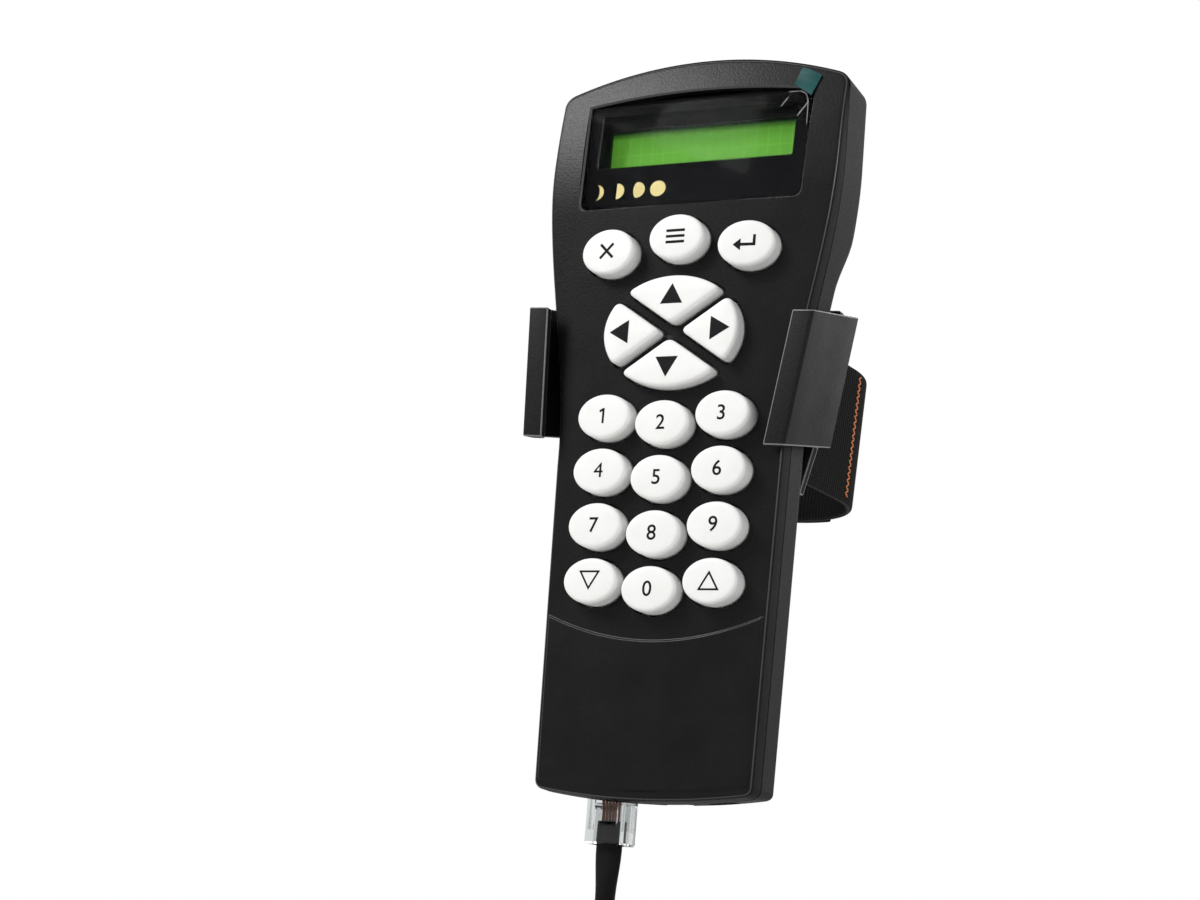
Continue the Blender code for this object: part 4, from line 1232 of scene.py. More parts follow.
    def mark_shapes(self, key: Key) -> list[list[Flat]]:
        """Polygons of a key's symbol; a pair of loops of equal length is a frame."""
        across, up = key.centre
        bars = {"menu": [rectangle(across, up + rise, 4.6, 0.62) for rise in (-1.35, 0.0, 1.35)]}
        if key.label in bars:
            return bars[key.label]
        if key.label == "1":
            stem = [(-0.2, -1.75), (0.3, -1.75), (0.3, 1.75), (-0.1, 1.75), (-1.0, 1.2), (-0.8, 0.75), (-0.2, 1.1)]
            return [[(across + x, up + y) for x, y in stem]]
        if key.label == "back":
            arm = ((0.45, 0.0), (1.9, 1.45), (1.45, 1.9), (0.0, 0.45))
            middle = [self.turned(arm[0], turns, key.centre) for turns in range(4)]
            return [middle] + [[self.turned(point, turns, key.centre) for point in arm] for turns in range(4)]
        if key.label == "enter":
            arrow = [(-2.9, -0.5), (-1.1, 0.9), (-1.1, -0.16), (1.75, -0.16), (1.75, 1.75), (2.4, 1.75),
                     (2.4, -0.84), (-1.1, -0.84), (-1.1, -1.9)]
            return [[(across + x, up + y) for x, y in arrow]]
        pointers = {"right": (0, 12.3), "up": (1, 8.4), "left": (2, 12.3), "down": (3, 8.4)}
        if key.label in pointers:
            turns, reach = pointers[key.label]
            return [[self.turned((reach + x, y), turns, key.centre)
                     for x, y in ((2.5, 0.0), (-2.2, 2.75), (-2.2, -2.75))]]
        sign = 1.0 if key.label == "scroll_up" else -1.0
        frame = []
        for grow in (0.0, 0.42):
            tip, side, foot = 2.2 - 2.0 * grow, 2.6 - 1.73 * grow, -2.2 + grow
            frame.append([(across, up + sign * tip), (across - side, up + sign * foot),
                          (across + side, up + sign * foot)])
        return frame

    def turned(self, point: Flat, turns: int, centre: Flat) -> Flat:
        """Turn a point by quarter turns about the origin and move it to a centre."""
        x, y = point
        for _ in range(turns):
            x, y = -y, x
        return centre[0] + x, centre[1] + y

    def mark(self, key: Key, cap: bpy.types.Object, ink: bpy.types.Material) -> bpy.types.Object:
        """Printed mark of a key: a thin layer of ink that lies on the key's top."""
        if key.label.isdigit() and key.label != "1":
            flat = self.digit(key.label, key.centre)
        else:
            flat = bmesh.new()
            shapes = self.mark_shapes(key)
            loops = [[flat.verts.new((x, y, 0.0)) for x, y in shape] for shape in shapes]
            if key.label.startswith("scroll"):
                for index in range(3):
                    after = (index + 1) % 3
                    flat.faces.new((loops[0][index], loops[0][after], loops[1][after], loops[1][index]))
            else:
                for loop in loops:
                    flat.faces.new(loop)
                bmesh.ops.remove_doubles(flat, verts=flat.verts, dist=0.001)
        for _ in range(4):
            bmesh.ops.triangulate(flat, faces=flat.faces)
            long = [edge for edge in flat.edges if edge.calc_length() > 0.55]
            if not long:
                break
            bmesh.ops.subdivide_edges(flat, edges=long, cuts=1)
        bmesh.ops.triangulate(flat, faces=flat.faces)
        bmesh.ops.recalc_face_normals(flat, faces=flat.faces)
        tree = BVHTree.FromPolygons([vert.co for vert in cap.data.vertices],
                                    [face.vertices for face in cap.data.polygons])
        towards = place(0.0, 0.0, -1.0) - place(0.0, 0.0, 0.0)
        for vert in flat.verts:
            start = place(vert.co.x, vert.co.y, 12.0)
            hit = tree.ray_cast(start, towards.normalized())[0]
            vert.co = hit - towards * -0.02 if hit is not None else start
        made = bmesh.ops.extrude_face_region(flat, geom=list(flat.faces))
        lift = -towards * (self.ink_lift + 0.02)
        for item in made["geom"]:
            if isinstance(item, bmesh.types.BMVert):
                item.co += lift
        skin = Skin()
        skin.mesh.free()
        skin.mesh = flat
        piece = skin.done("mark_" + key.label, ink)
        return settle(piece, "button_" + key.label, Slot.KEYS)

    def build(self, rubber: bpy.types.Material, ink: bpy.types.Material) -> None:
        """Build every key with its mark."""
        for key in self.keys():
            self.mark(key, self.cap(key, rubber), ink)


@dataclass
class DisplayWindow:
    """Recessed window with its printed mask, film and pull tab, and the tunnel to the display."""

    housing: Housing
    low: float = 51.2
    high: float = 76.9
    half: Flat = (27.3, 27.9)
    arch_up: float = 79.1
    corner: float = 2.2
    lens_out: float = -1.4
    slope: float = 0.085
    thick: float = 1.5
    film_thick: float = 0.12
    view_half: float = 25.2
    view: Flat = (60.0, 75.4)
    tunnel_end: float = -9.0
    mask_across: float = -1.0
    mask_half: float = 24.9
    mask_view: Flat = (61.8, 75.0)
    tab_corners: tuple[Flat, ...] = ((24.9, 82.9), (29.8, 80.4), (28.0, 75.2), (23.5, 78.4))
    fold_lines: tuple[tuple[Flat, ...], ...] = (
        ((22.3, 76.7), (25.3, 76.6), (26.7, 75.7), (27.2, 74.3), (27.3, 72.6), (27.4, 68.2)),
        ((22.2, 75.3), (20.7, 73.3)), ((27.4, 73.8), (25.0, 70.7)), ((26.4, 72.5), (25.4, 71.3)))

    def plane(self, up: float, below: float = 0.0) -> float:
        """Height of the window's front plane, or of a plane below it."""
        return self.lens_out - self.slope * (up - self.low) - below

    def lifted(self, outline: Sequence[Flat], below: float) -> list[Point]:
        """Outline set on a plane below the window's front."""
        return [(across, up, self.plane(up, below)) for across, up in outline]

    def outline(self, grow: float = 0.0) -> list[Flat]:
        """Window with rounded corners."""
        corners = ((-self.half[0] - grow, self.low - grow), (self.half[0] + grow, self.low - grow),
                   (self.half[1] + grow, self.high + grow), (-self.half[1] - grow, self.high + grow))
        return round_polygon(corners, self.corner)

    def pocket(self, grow: float = 0.0) -> list[Flat]:
        """Pocket whose top edge is arched above the window."""
        low, high = self.half[0] + GAP + grow, self.half[1] + GAP + grow
        floor, shoulder = self.low - GAP - grow, self.high + GAP + grow
        turn = self.corner
        points = soft_corner((-low, floor + turn), (-low, floor), (-low + turn, floor))
        points += soft_corner((low - turn, floor), (low, floor), (low, floor + turn))
        arch = self.arch_up + grow - shoulder
        for across in spread(high, -high, 32):
            points.append((across, shoulder + arch * (1.0 - (across / high) ** 2)))
        return points

    def seat(self) -> bpy.types.Object:
        """Tool that thickens the shell behind the window."""
        skin = Skin()
        skin.loft((self.lifted(self.outline(1.6), 3.3), self.lifted(self.outline(1.6), 0.6)))
        return skin.done("seat_tool")

    def tunnel(self) -> bpy.types.Object:
        """Tool for the walls between the window and the display."""
        middle, tall = sum(self.view) / 2.0, self.view[1] - self.view[0]
        wall = rectangle(0.0, middle, 2.0 * self.view_half + 3.4, tall + 3.4)
        skin = Skin()
        skin.loft((raised(wall, self.tunnel_end), raised(wall, self.plane(middle, 2.5))))
        return skin.done("tunnel_tool")

    def pocket_tool(self) -> bpy.types.Object:
        """Tool for the pocket, whose chamfered rim takes the shell's second material, the glossier plastic with a
        painted highlight.
        """
        face = self.housing.face_out
        plain, wide = self.pocket(), self.pocket(0.45)
        skin = Skin()
        skin.loft((self.lifted(plain, self.thick + GAP),
                   [(across, up, face(across, up) - 0.42) for across, up in plain],
                   [(across, up, face(across, up) + 0.03) for across, up in wide], raised(wide, 4.0)))
        tool = skin.done("pocket_tool")
        for side in tool.data.polygons:
            side.material_index = 1 if 0.3 < abs(side.normal.y) < 0.9 else 0
        return tool

    def view_tool(self) -> bpy.types.Object:
        """Tool for the view from the pocket through the tunnel."""
        middle, tall = sum(self.view) / 2.0, self.view[1] - self.view[0]
        hole = rectangle(0.0, middle, 2.0 * self.view_half, tall)
        skin = Skin()
        skin.loft((raised(hole, self.tunnel_end - 1.0), self.lifted(hole, self.thick - GAP)))
        tool = skin.done("view_tool")
        for side in tool.data.polygons:
            side.material_index = 2
        return tool

    def lens(self, look: bpy.types.Material) -> bpy.types.Object:
        """Clear window with a fine chamfer."""
        skin = Skin()
        skin.loft((self.lifted(self.outline(), self.thick), self.lifted(self.outline(), 0.15),
                   self.lifted(self.outline(-0.15), 0.0)))
        return settle(skin.done("clear_window", look), Body.CONTROLLER.value, Slot.WINDOW, "display_window")

    def mask(self, look: bpy.types.Material) -> bpy.types.Object:
        """Black border printed on the window's rear face, with the opening for the display."""
        outer = round_polygon(((-self.half[0], self.low), (self.half[0], self.low),
                               (self.half[1], self.high), (-self.half[1], self.high)), self.corner, 3)
        view = round_polygon(rectangle(self.mask_across, sum(self.mask_view) / 2.0, 2.0 * self.mask_half,
                                       self.mask_view[1] - self.mask_view[0]), 0.5, 3)
        skin = Skin()
        skin.loft([self.lifted(ring, self.thick + below)
                   for ring, below in ((outer, 0.03), (view, 0.03), (view, 0.10), (outer, 0.10))], closed=True)
        return settle(skin.done("window_mask", look), Body.CONTROLLER.value, Slot.WINDOW)

    def moons(self, look: bpy.types.Material) -> bpy.types.Object:
        """Row of plain moon phases printed on the mask."""
        skin = Skin()
        for index, (left, right) in enumerate(((0.45, 1.0), (0.0, 1.0), (-0.5, 1.0), (-1.0, 1.0))):
            across = -24.8 + 5.3 * index
            radius = 1.95
            rise = spread(-math.pi / 2.0, math.pi / 2.0, 24)
            bright = [(across + right * radius * math.cos(turn), 55.8 + radius * math.sin(turn))
                      for turn in rise]
            dark = [(across + left * radius * math.cos(turn), 55.8 + radius * math.sin(turn))
                    for turn in reversed(rise[1:-1])]
            outline = bright + dark
            skin.loft((self.lifted(outline, self.thick + 0.03), self.lifted(outline, self.thick + 0.012)))
        return settle(skin.done("moon_row", look), Body.CONTROLLER.value, Slot.WINDOW)

    def fold(self, across: float, up: float) -> float:
        """How strongly the film is folded at a point: 1 on a fold and 0 away from every one."""
        here, strongest = Vector((across, up)), 0.0
        for line in self.fold_lines:
            for start, stop in zip(line, line[1:]):
                first, way = Vector(start), Vector(stop) - Vector(start)
                share = min(max((here - first).dot(way) / way.length_squared, 0.0), 1.0)
                away = (here - first - way * share).length
                strongest = max(strongest, 1.0 - smooth((away - 0.02) / 0.16))
        return strongest

    def film(self, look: bpy.types.Material) -> bpy.types.Object:
        """Protective film that lifts and folds at its upper right corner."""
        grid = []
        for up in spread(self.low + 0.5, 67.0, 16) + spread(67.0, self.high - 0.15, 64)[1:]:
            half = self.half[0] + (self.half[1] - self.half[0]) * (up - self.low) / (self.high - self.low) - 0.3
            row = []
            for across in spread(-half, 19.0, 40) + spread(19.0, half, 64)[1:]:
                fade = max(0.0, 1.0 - math.hypot(across - 27.0, up - 76.4) / 9.0)
                rise = fade * fade * (0.28 + 0.3 * self.fold(across, up))
                row.append((across, up, self.plane(up, -GAP - 0.05 - rise)))
            grid.append(row)
        under = [[(across, up, out - self.film_thick) for across, up, out in row] for row in grid]
        skin = Skin()
        skin.patch(grid, under)
        piece = skin.done("protective_film", look, 60.0)
        # The fold strength is stored on the points for the material, which paints a highlight along the folds.
        folds = piece.data.attributes.new("fold", "FLOAT", "POINT")
        for vert, value in zip(piece.data.vertices, folds.data):
            value.value = self.fold(vert.co.x / MM, vert.co.z / MM + CRADLE_UP)
        return settle(piece, Body.CONTROLLER.value, Slot.FILM, "window_film")

    def tab(self, look: bpy.types.Material) -> bpy.types.Object:
        """Pull tab at the film's corner, slightly curled."""
        first, second, third, fourth = (Vector(corner) for corner in self.tab_corners)
        grid = []
        for down in spread(0.0, 1.0, 14):
            start, stop = first.lerp(fourth, down), second.lerp(third, down)
            row = []
            for share in spread(0.0, 1.0, 12):
                across, up = start.lerp(stop, share)
                curl = 0.22 * math.sin(math.pi * share) * (1.0 - down) + 0.12 * math.sin(7.0 * down + 2.0 * share)
                row.append((across, up, self.housing.face_out(across, up) + 0.48 + 0.8 * curl))
            grid.append(row)
        under = [[(across, up, out - 0.14) for across, up, out in row] for row in grid]
        skin = Skin()
        skin.patch(grid, under)
        return settle(skin.done("pull_tab", look, 60.0), Body.CONTROLLER.value, Slot.TAB, "film_tab")


@dataclass
class CableSet:
    """Clear plug, flat sheath, and the cable wound away for storage with its far plug."""

    across: float = -10.6
    out: float = -9.6
    jacks: tuple[float, ...] = (-10.6, 4.0)
    jack_front: float = -80.4
    mouth_low: float = -86.8
    power_across: float = 16.2
    plug_size: Flat = (9.65, 6.6)
    plug_reach: Flat = (-72.6, -94.6)
    latch_wide: float = 6.0
    latch_thick: float = 0.9
    diameter: float = 4.4
    sheath_half: Flat = (3.1, 1.6)
    sheath_reach: tuple[float, float, float] = (-89.4, -95.4, -107.0)
    straight: float = 6.0
    bend: float = 25.0
    coil_outer: float = 29.3
    pitch: float = 5.6
    layer: float = 5.2
    layers: int = 4
    climb_turns: float = 0.5
    start_turn: float = math.radians(122.0)
    end_turn: float = math.radians(180.0)
    points_per_turn: int = 48
    tail: float = 20.0
    far_long: float = 22.0
    length: float = 1.44

    def turns(self) -> float:
        """Number of turns in the coil."""
        return 9.0 + (self.end_turn - self.start_turn) / (2.0 * math.pi)

    def layer_turns(self) -> float:
        """Turns in one layer of the coil."""
        return (self.turns() - (self.layers - 1) * self.climb_turns) / self.layers

    def lead(self) -> list[Vector]:
        """Cable from the sheath: straight down, then one bend towards the coil, across and up."""
        start = Vector((self.across, self.sheath_reach[2]))
        turning = start - Vector((0.0, GAP + self.straight))
        points = [start.lerp(turning, share) for share in spread(0.0, 1.0, 4)[:-1]]
        for angle in spread(0.0, math.pi - self.start_turn, 16):
            points.append(turning + self.bend * Vector((math.cos(angle) - 1.0, -math.sin(angle))))
        return points

    def coil_centre(self) -> Vector:
        """Centre of the coil, set so that its first turn carries on from the lead."""
        way = Vector((-math.sin(self.start_turn), math.cos(self.start_turn)))
        start = self.lead()[-1] + way * (self.diameter + GAP)
        return start - self.coil_outer * Vector((math.cos(self.start_turn), math.sin(self.start_turn)))

    def coil(self) -> list[Point]:
        """Turns of the coil: each layer spirals in or out, and a half turn climbs to the next."""
        centre, layer_turns = self.coil_centre(), self.layer_turns()
        period = layer_turns + self.climb_turns
        points = []
        for turn in spread(0.0, self.turns(), round(self.turns() * self.points_per_turn)):
            layer = min(int(turn / period), self.layers - 1)
            within = turn - layer * period
            travel = min(within / layer_turns, 1.0)
            climb = smooth((within - layer_turns) / self.climb_turns)
            inwards = travel if layer % 2 == 0 else 1.0 - travel
            radius = self.coil_outer - self.pitch * layer_turns * inwards
            angle = self.start_turn + 2.0 * math.pi * turn
            points.append((centre.x + radius * math.cos(angle), centre.y + radius * math.sin(angle),
                           self.out + self.layer * (layer + climb)))
        return points

    def far_end(self) -> tuple[float, float, float]:
        """Across and out of the tail, and the height where it starts."""
        centre = self.coil_centre()
        return (centre.x - self.coil_outer, self.out + self.layer * (self.layers - 1),
                centre.y - self.diameter - GAP)

    def route(self) -> list[Point]:
        """Whole centreline from the sheath to the far plug."""
        across, out, start = self.far_end()
        points = [(point.x, point.y, self.out) for point in self.lead()] + self.coil()
        return points + [(across, up, out) for up in spread(start, start - self.tail, 6)]

    def cord(self, look: bpy.types.Material, carried: list[bpy.types.Object]) -> bpy.types.Object:
        """Free cable as one curve; the length of its route is logged."""
        curve = bpy.data.curves.new("cable", "CURVE")
        curve.dimensions = "3D"
        curve.bevel_depth = self.diameter * MM / 2.0
        curve.bevel_resolution = 6
        curve.use_fill_caps = True
        route = self.route()
        spline = curve.splines.new("POLY")
        spline.points.add(len(route) - 1)
        for target, point in zip(spline.points, route):
            target.co = (*place(*point), 1.0)
        spline.use_smooth = True
        curve.materials.append(look)
        piece = bpy.data.objects.new("cable", curve)
        bpy.context.scene.collection.objects.link(piece)
        settle(piece, Body.CONTROLLER.value, Slot.CABLE, "cable_lead", "cable_coil", "cable_tail")
        spans = [(place(*first) - place(*second)).length for first, second in zip(route, route[1:])]
        LOG.info("cable route is %.3f m", sum(spans))
        tuple(place(*route[0]))
        return piece

    def plug(self, name: str, node: str, axis: Flat, tip: float, end: float, held: Flat,
             look: bpy.types.Material) -> bpy.types.Object:
        """Clear modular plug with a sprung latch on its rear face.

        Args:
            name: Name of the piece.
            node: Node that it stands for.
            axis: Its middle, across and out.
            tip: Height of the end that goes into a jack.
            end: Height of the end that the cable enters.
            held: Half sizes of the cable inside it.
            look: Its material.

        Returns:
            The plug.
        """
        way = 1.0 if tip > end else -1.0
        wide, deep = self.plug_size[0] / 2.0, self.plug_size[1] / 2.0

        def section(half: float, rise: float, up: float, turn: float) -> list[Point]:
            corners = rectangle(axis[0], axis[1], 2.0 * half, 2.0 * rise)
            return along(round_polygon(corners, turn, 4), up)

        skin = Skin()
        skin.loft((section(wide - 0.35, deep - 0.35, end, 0.4), section(wide, deep, end + way * 0.35, 0.6),
                   section(wide, deep, tip - way * 0.8, 0.6), section(wide - 0.6, deep - 0.6, tip, 0.4)))
        body = skin.done(name, look)
        hollow = Skin()
        hollow.loft([section(held[0] + GAP, held[1] + GAP, up, 0.9) for up in (end - way * 2.0, end + way * 9.0)])
        carve(body, hollow.done("socket_tool"), Cut.AWAY)
        dip = Skin()
        dip.loft([along(rectangle(axis[0], axis[1] + deep, 5.6, depth), up)
                  for up, depth in ((end + way * 4.0, 0.1), (end + way * 4.9, 1.6), (end + way * 7.4, 1.6),
                                    (end + way * 8.3, 0.1))])
        carve(body, dip.done("dip_tool"), Cut.AWAY)
        latch = Skin()
        half, root = self.latch_wide / 2.0, -deep + 0.3
        for_latch = ((2.2, root, -deep - 0.5), (4.0, root - 0.5, -deep - 1.2),
                     (6.0, -deep - 0.35, -deep - 0.35 - self.latch_thick),
                     (18.5, -deep - 0.55, -deep - 0.55 - self.latch_thick))
        rings = []
        for reach, front, rear in for_latch:
            corners = ((axis[0] - half, axis[1] + rear), (axis[0] + half, axis[1] + rear),
                       (axis[0] + half, axis[1] + front), (axis[0] - half, axis[1] + front))
            rings.append(along(corners, tip - way * reach))
        latch.loft(rings)
        carve(body, latch.done("latch_tool"), Cut.JOIN)
        tidy_edges(body)
        soften(body, 30.0)
        return settle(body, Body.CONTROLLER.value, Slot.PLUG, node)

    def wires(self, look: bpy.types.Material) -> bpy.types.Object:
        """Straight wire ends side by side inside the clear plug above the sheath."""
        shape = Skin()
        shape.loft([along(oval(0.0, 0.0, (0.34, 0.36), 12), up) for up in (0.0, 12.2)])
        wire = shape.done("wire_shape")
        wire.data.transform(Matrix.Translation(-place(0.0, 0.0, 0.0)))
        places = [(self.across + 0.5 + 0.8 * (index - 2.5), -89.4, self.out + 0.9) for index in range(6)]
        piece = copies_of("plug_wires", wire, places, look)
        return settle(piece, Body.CONTROLLER.value, Slot.PLUG)

    def sheath(self, look: bpy.types.Material) -> bpy.types.Object:
        """Sheath pressed flat inside the plug, rounding off to the cable's own diameter."""
        top, flat_to, end = self.sheath_reach
        radius = self.diameter / 2.0
        rings = []
        for up in spread(top, flat_to, 4)[:-1] + spread(flat_to, end, 20):
            share = smooth((flat_to - up) / (flat_to - end))
            half = tuple(start + (radius - start) * share for start in self.sheath_half)
            rings.append(along(oval(self.across, self.out, half, 40), up))
        skin = Skin()
        skin.loft(rings)
        return settle(skin.done("flat_sheath", look), Body.CONTROLLER.value, Slot.CABLE, "cable_sheath")

    def tie(self, look: bpy.types.Material) -> bpy.types.Object:
        """Woven tie round the bundle of turns."""
        centre, radius = self.coil_centre(), self.diameter / 2.0
        inner = self.coil_outer - self.pitch * self.layer_turns()
        low, high = centre.x + inner - radius - 1.0, centre.x + self.coil_outer + radius + 0.6
        rear, front = self.out - radius - 0.6, self.out + self.layer * (self.layers - 1) + radius + 0.6
        middle = ((low + high) / 2.0, (rear + front) / 2.0)
        inside = round_polygon(rectangle(*middle, high - low, front - rear), 2.0, 8)
        outside = round_polygon(rectangle(*middle, high - low + 2.4, front - rear + 2.4), 2.8, 8)
        mid_in = round_polygon(rectangle(*middle, high - low + 0.5, front - rear + 0.5), 2.2, 8)
        mid_out = round_polygon(rectangle(*middle, high - low + 1.9, front - rear + 1.9), 2.6, 8)
        stages = [(mid_out, -3.5), (outside, -3.1)]
        stages += [(outside, rise) for rise in spread(-2.0, 2.0, 4)]
        stages += [(outside, 3.1), (mid_out, 3.5), (mid_in, 3.5), (inside, 3.1), (inside, -3.1), (mid_in, -3.5)]
        skin = Skin()
        skin.loft([along(ring, centre.y + rise) for ring, rise in stages], closed=True)
        return settle(skin.done("coil_tie", look, 50.0), Body.CONTROLLER.value, Slot.WEBBING, "cable_tie")

    def mouths(self, skin: Skin) -> None:
        """Add the tools for the jack openings in the housing's lower end."""
        wide, deep = self.plug_size[0] / 2.0 + GAP + 0.05, self.plug_size[1] / 2.0 + GAP + 0.05
        key = self.latch_wide / 2.0 + GAP + 0.05
        for across in self.jacks:
            section = [(across - wide, self.out + deep), (across - wide, self.out - deep),
                       (across - key, self.out - deep), (across - key, self.out - deep - 1.6),
                       (across + key, self.out - deep - 1.6), (across + key, self.out - deep),
                       (across + wide, self.out - deep), (across + wide, self.out + deep)]
            skin.loft((along(section, self.mouth_low), along(section, self.jack_front - 0.1)))
        ring = oval(self.power_across, self.out, (3.6, 3.6), 40)
        skin.loft((along(ring, self.mouth_low), along(ring, self.jack_front - 0.1)))

    def build(self, clear: bpy.types.Material, jacket: bpy.types.Material, woven: bpy.types.Material,
              amber: bpy.types.Material) -> None:
        """Build the plugs, the sheath, the tie and the cord."""
        self.plug("clear_plug", "cable_plug", (self.across, self.out), *self.plug_reach, self.sheath_half, clear)
        across, out, start = self.far_end()
        end = start - self.tail + 8.5
        round_half = (self.diameter / 2.0, self.diameter / 2.0)
        far = self.plug("clear_far_plug", "far_plug", (across, out), end - self.far_long, end, round_half, clear)
        self.wires(amber)
        self.sheath(jacket)
        self.cord(jacket, [far, self.tie(woven)])


@dataclass
class Cradle:
    """Bent sheet cradle that holds the controller, and the strap that ties it to a leg."""

    lean: float = math.radians(3.3)
    centre: Flat = (-1.5, 9.2)
    arm_half: float = 33.9
    taper: float = 0.0997
    arm_tall: float = 30.6
    sweep: float = 5.5
    sheet: float = 2.0
    lip_front: float = 3.9
    lip_wide: float = 5.0
    plate: Flat = (-21.0, 22.0)
    slot_across: float = 24.6
    slot_wide: float = 2.8
    strap: Flat = (-17.0, 15.0)
    strap_thick: float = 1.6
    leg_radius: float = 25.4
    rib_pitch: float = 1.05
    rib_deep: float = 0.13
    flap_turn: Flat = (-165.0, -60.0)
    stitch_turn: float = -1.0

    def lay(self, across: float, up: float, out: float) -> Point:
        """Turn the cradle's own coordinates, which lean a little, into design coordinates."""
        return (self.centre[0] + across * math.cos(self.lean) + up * math.sin(self.lean),
                self.centre[1] - across * math.sin(self.lean) + up * math.cos(self.lean), out)

    def reach(self, out: float) -> Flat:
        """Lowest and highest point of an arm, which sweeps upwards towards the back."""
        sweep = self.sweep * (self.lip_front - out) / (self.lip_front + FACE_DEPTH)
        return sweep - self.arm_tall / 2.0, sweep + self.arm_tall / 2.0

    def stations(self) -> list[tuple[Flat, Flat]]:
        """Outer and inner points of the right half from the plate to the lip: in from the side, and out."""
        rear, front, thick, bend = -FACE_DEPTH, self.lip_front, self.sheet, 0.9
        quarter = spread(0.0, math.pi / 2.0, 6)
        made = [((3.2, rear), (3.4, rear + thick))]
        made += [((bend - bend * math.sin(turn), rear + bend - bend * math.cos(turn)),
                  (thick + 0.5 - 0.5 * math.sin(turn), rear + thick + 0.5 - 0.5 * math.cos(turn)))
                 for turn in quarter]
        for out in spread(rear + thick + 0.5, front - thick - 0.5, 4)[1:-1]:
            made.append(((0.0, out), (thick, out)))
        made += [((bend - bend * math.cos(turn), front - bend + bend * math.sin(turn)),
                  (thick + 0.5 - 0.5 * math.cos(turn), front - thick - 0.5 + 0.5 * math.sin(turn)))
                 for turn in quarter]
        made.append(((self.lip_wide, front), (self.lip_wide, front - thick)))
        return made

    def ring(self, side: float, outer: Flat, inner: Flat, reach: Flat) -> list[Point]:
        """Four corners of the sheet's section at one station."""
        low, high = reach
        corners = ((outer[0], low, outer[1]), (outer[0], high, outer[1]),
                   (inner[0], high, inner[1]), (inner[0], low, inner[1]))
        return [self.lay(side * (self.arm_half + self.taper * up - away), up, out)
                for away, up, out in corners]

    def build_sheet(self, coat: bpy.types.Material, edge: bpy.types.Material) -> bpy.types.Object:
        """Slotted back plate, two swept arms and the lips over the front face, with a painted highlight on its
        bevelled edges.
        """
        rear = -FACE_DEPTH
        rings: list[list[Point]] = []
        for side in (1.0, -1.0):
            half = [self.ring(side, (4.4, rear), (4.4, rear + self.sheet), self.plate)]
            half += [self.ring(side, outer, inner, self.reach(outer[1])) for outer, inner in self.stations()]
            rings = half[::-1] if side > 0.0 else rings + half
        skin = Skin()
        skin.loft(rings)
        piece = skin.done("bent_cradle", coat)
        piece.data.materials.append(edge)
        slots = Skin()
        middle, tall = sum(self.strap) / 2.0, self.strap[1] - self.strap[0] + 1.6
        for side in (-1.0, 1.0):
            slot = round_polygon(rectangle(side * self.slot_across, middle, self.slot_wide, tall), 0.6, 3)
            slots.loft([[self.lay(across, up, out) for across, up in slot]
                        for out in (rear - 2.0, rear + self.sheet + 2.0)])
        carve(piece, slots.done("slot_tool"), Cut.AWAY)
        tidy_edges(piece)
        bevel = piece.modifiers.new("edges", "BEVEL")
        bevel.width = 0.28 * MM
        bevel.segments = 3
        bevel.limit_method = "ANGLE"
        bevel.angle_limit = math.radians(50.0)
        # The bevel's faces take the second material, a light grey that paints a highlight along the sheet's edges.
        bevel.material = 1
        swap_mesh(piece, evaluated_mesh(piece))
        soften(piece, 40.0)
        return settle(piece, Body.HOLDER.value, Slot.SHEET, "cradle")

    def leg_centre(self) -> float:
        """Depth of the strap loop's axis."""
        return -FACE_DEPTH - self.leg_radius - GAP

    def loop(self) -> list[Flat]:
        """Middle line of the strap: across the plate, through the slots and round, across and out."""
        deep = self.leg_centre()
        radius = self.leg_radius + GAP + self.strap_thick / 2.0
        front = -FACE_DEPTH + self.sheet + GAP + self.strap_thick / 2.0
        bend = 2.6
        reach = math.hypot(self.slot_across, front - bend - deep)
        touch = math.atan2(front - bend - deep, self.slot_across) - math.acos(radius / reach)
        half = [(self.slot_across * share, front) for share in spread(0.0, 0.85, 12)]
        half += soft_corner((self.slot_across - bend, front), (self.slot_across, front),
                            (self.slot_across, front - bend), 12)
        half += [(radius * math.cos(turn), deep + radius * math.sin(turn))
                 for turn in spread(touch, -math.pi / 2.0, 60)]
        return half + [(-across, out) for across, out in reversed(half[1:-1])]

    def resampled(self, path: Sequence[Flat], closed: bool) -> list[Flat]:
        """Path with points at even steps that fit whole ribs."""
        points = [Vector(point) for point in path] + ([Vector(path[0])] if closed else [])
        lengths = [0.0]
        for first, second in zip(points, points[1:]):
            lengths.append(lengths[-1] + (second - first).length)
        count = round(lengths[-1] / self.rib_pitch) * 6
        made, index = [], 0
        for target in spread(0.0, lengths[-1], count):
            while index < len(lengths) - 2 and lengths[index + 1] < target:
                index += 1
            share = (target - lengths[index]) / max(lengths[index + 1] - lengths[index], 1e-9)
            made.append(tuple(points[index].lerp(points[index + 1], share)))
        return made[:-1] if closed else made

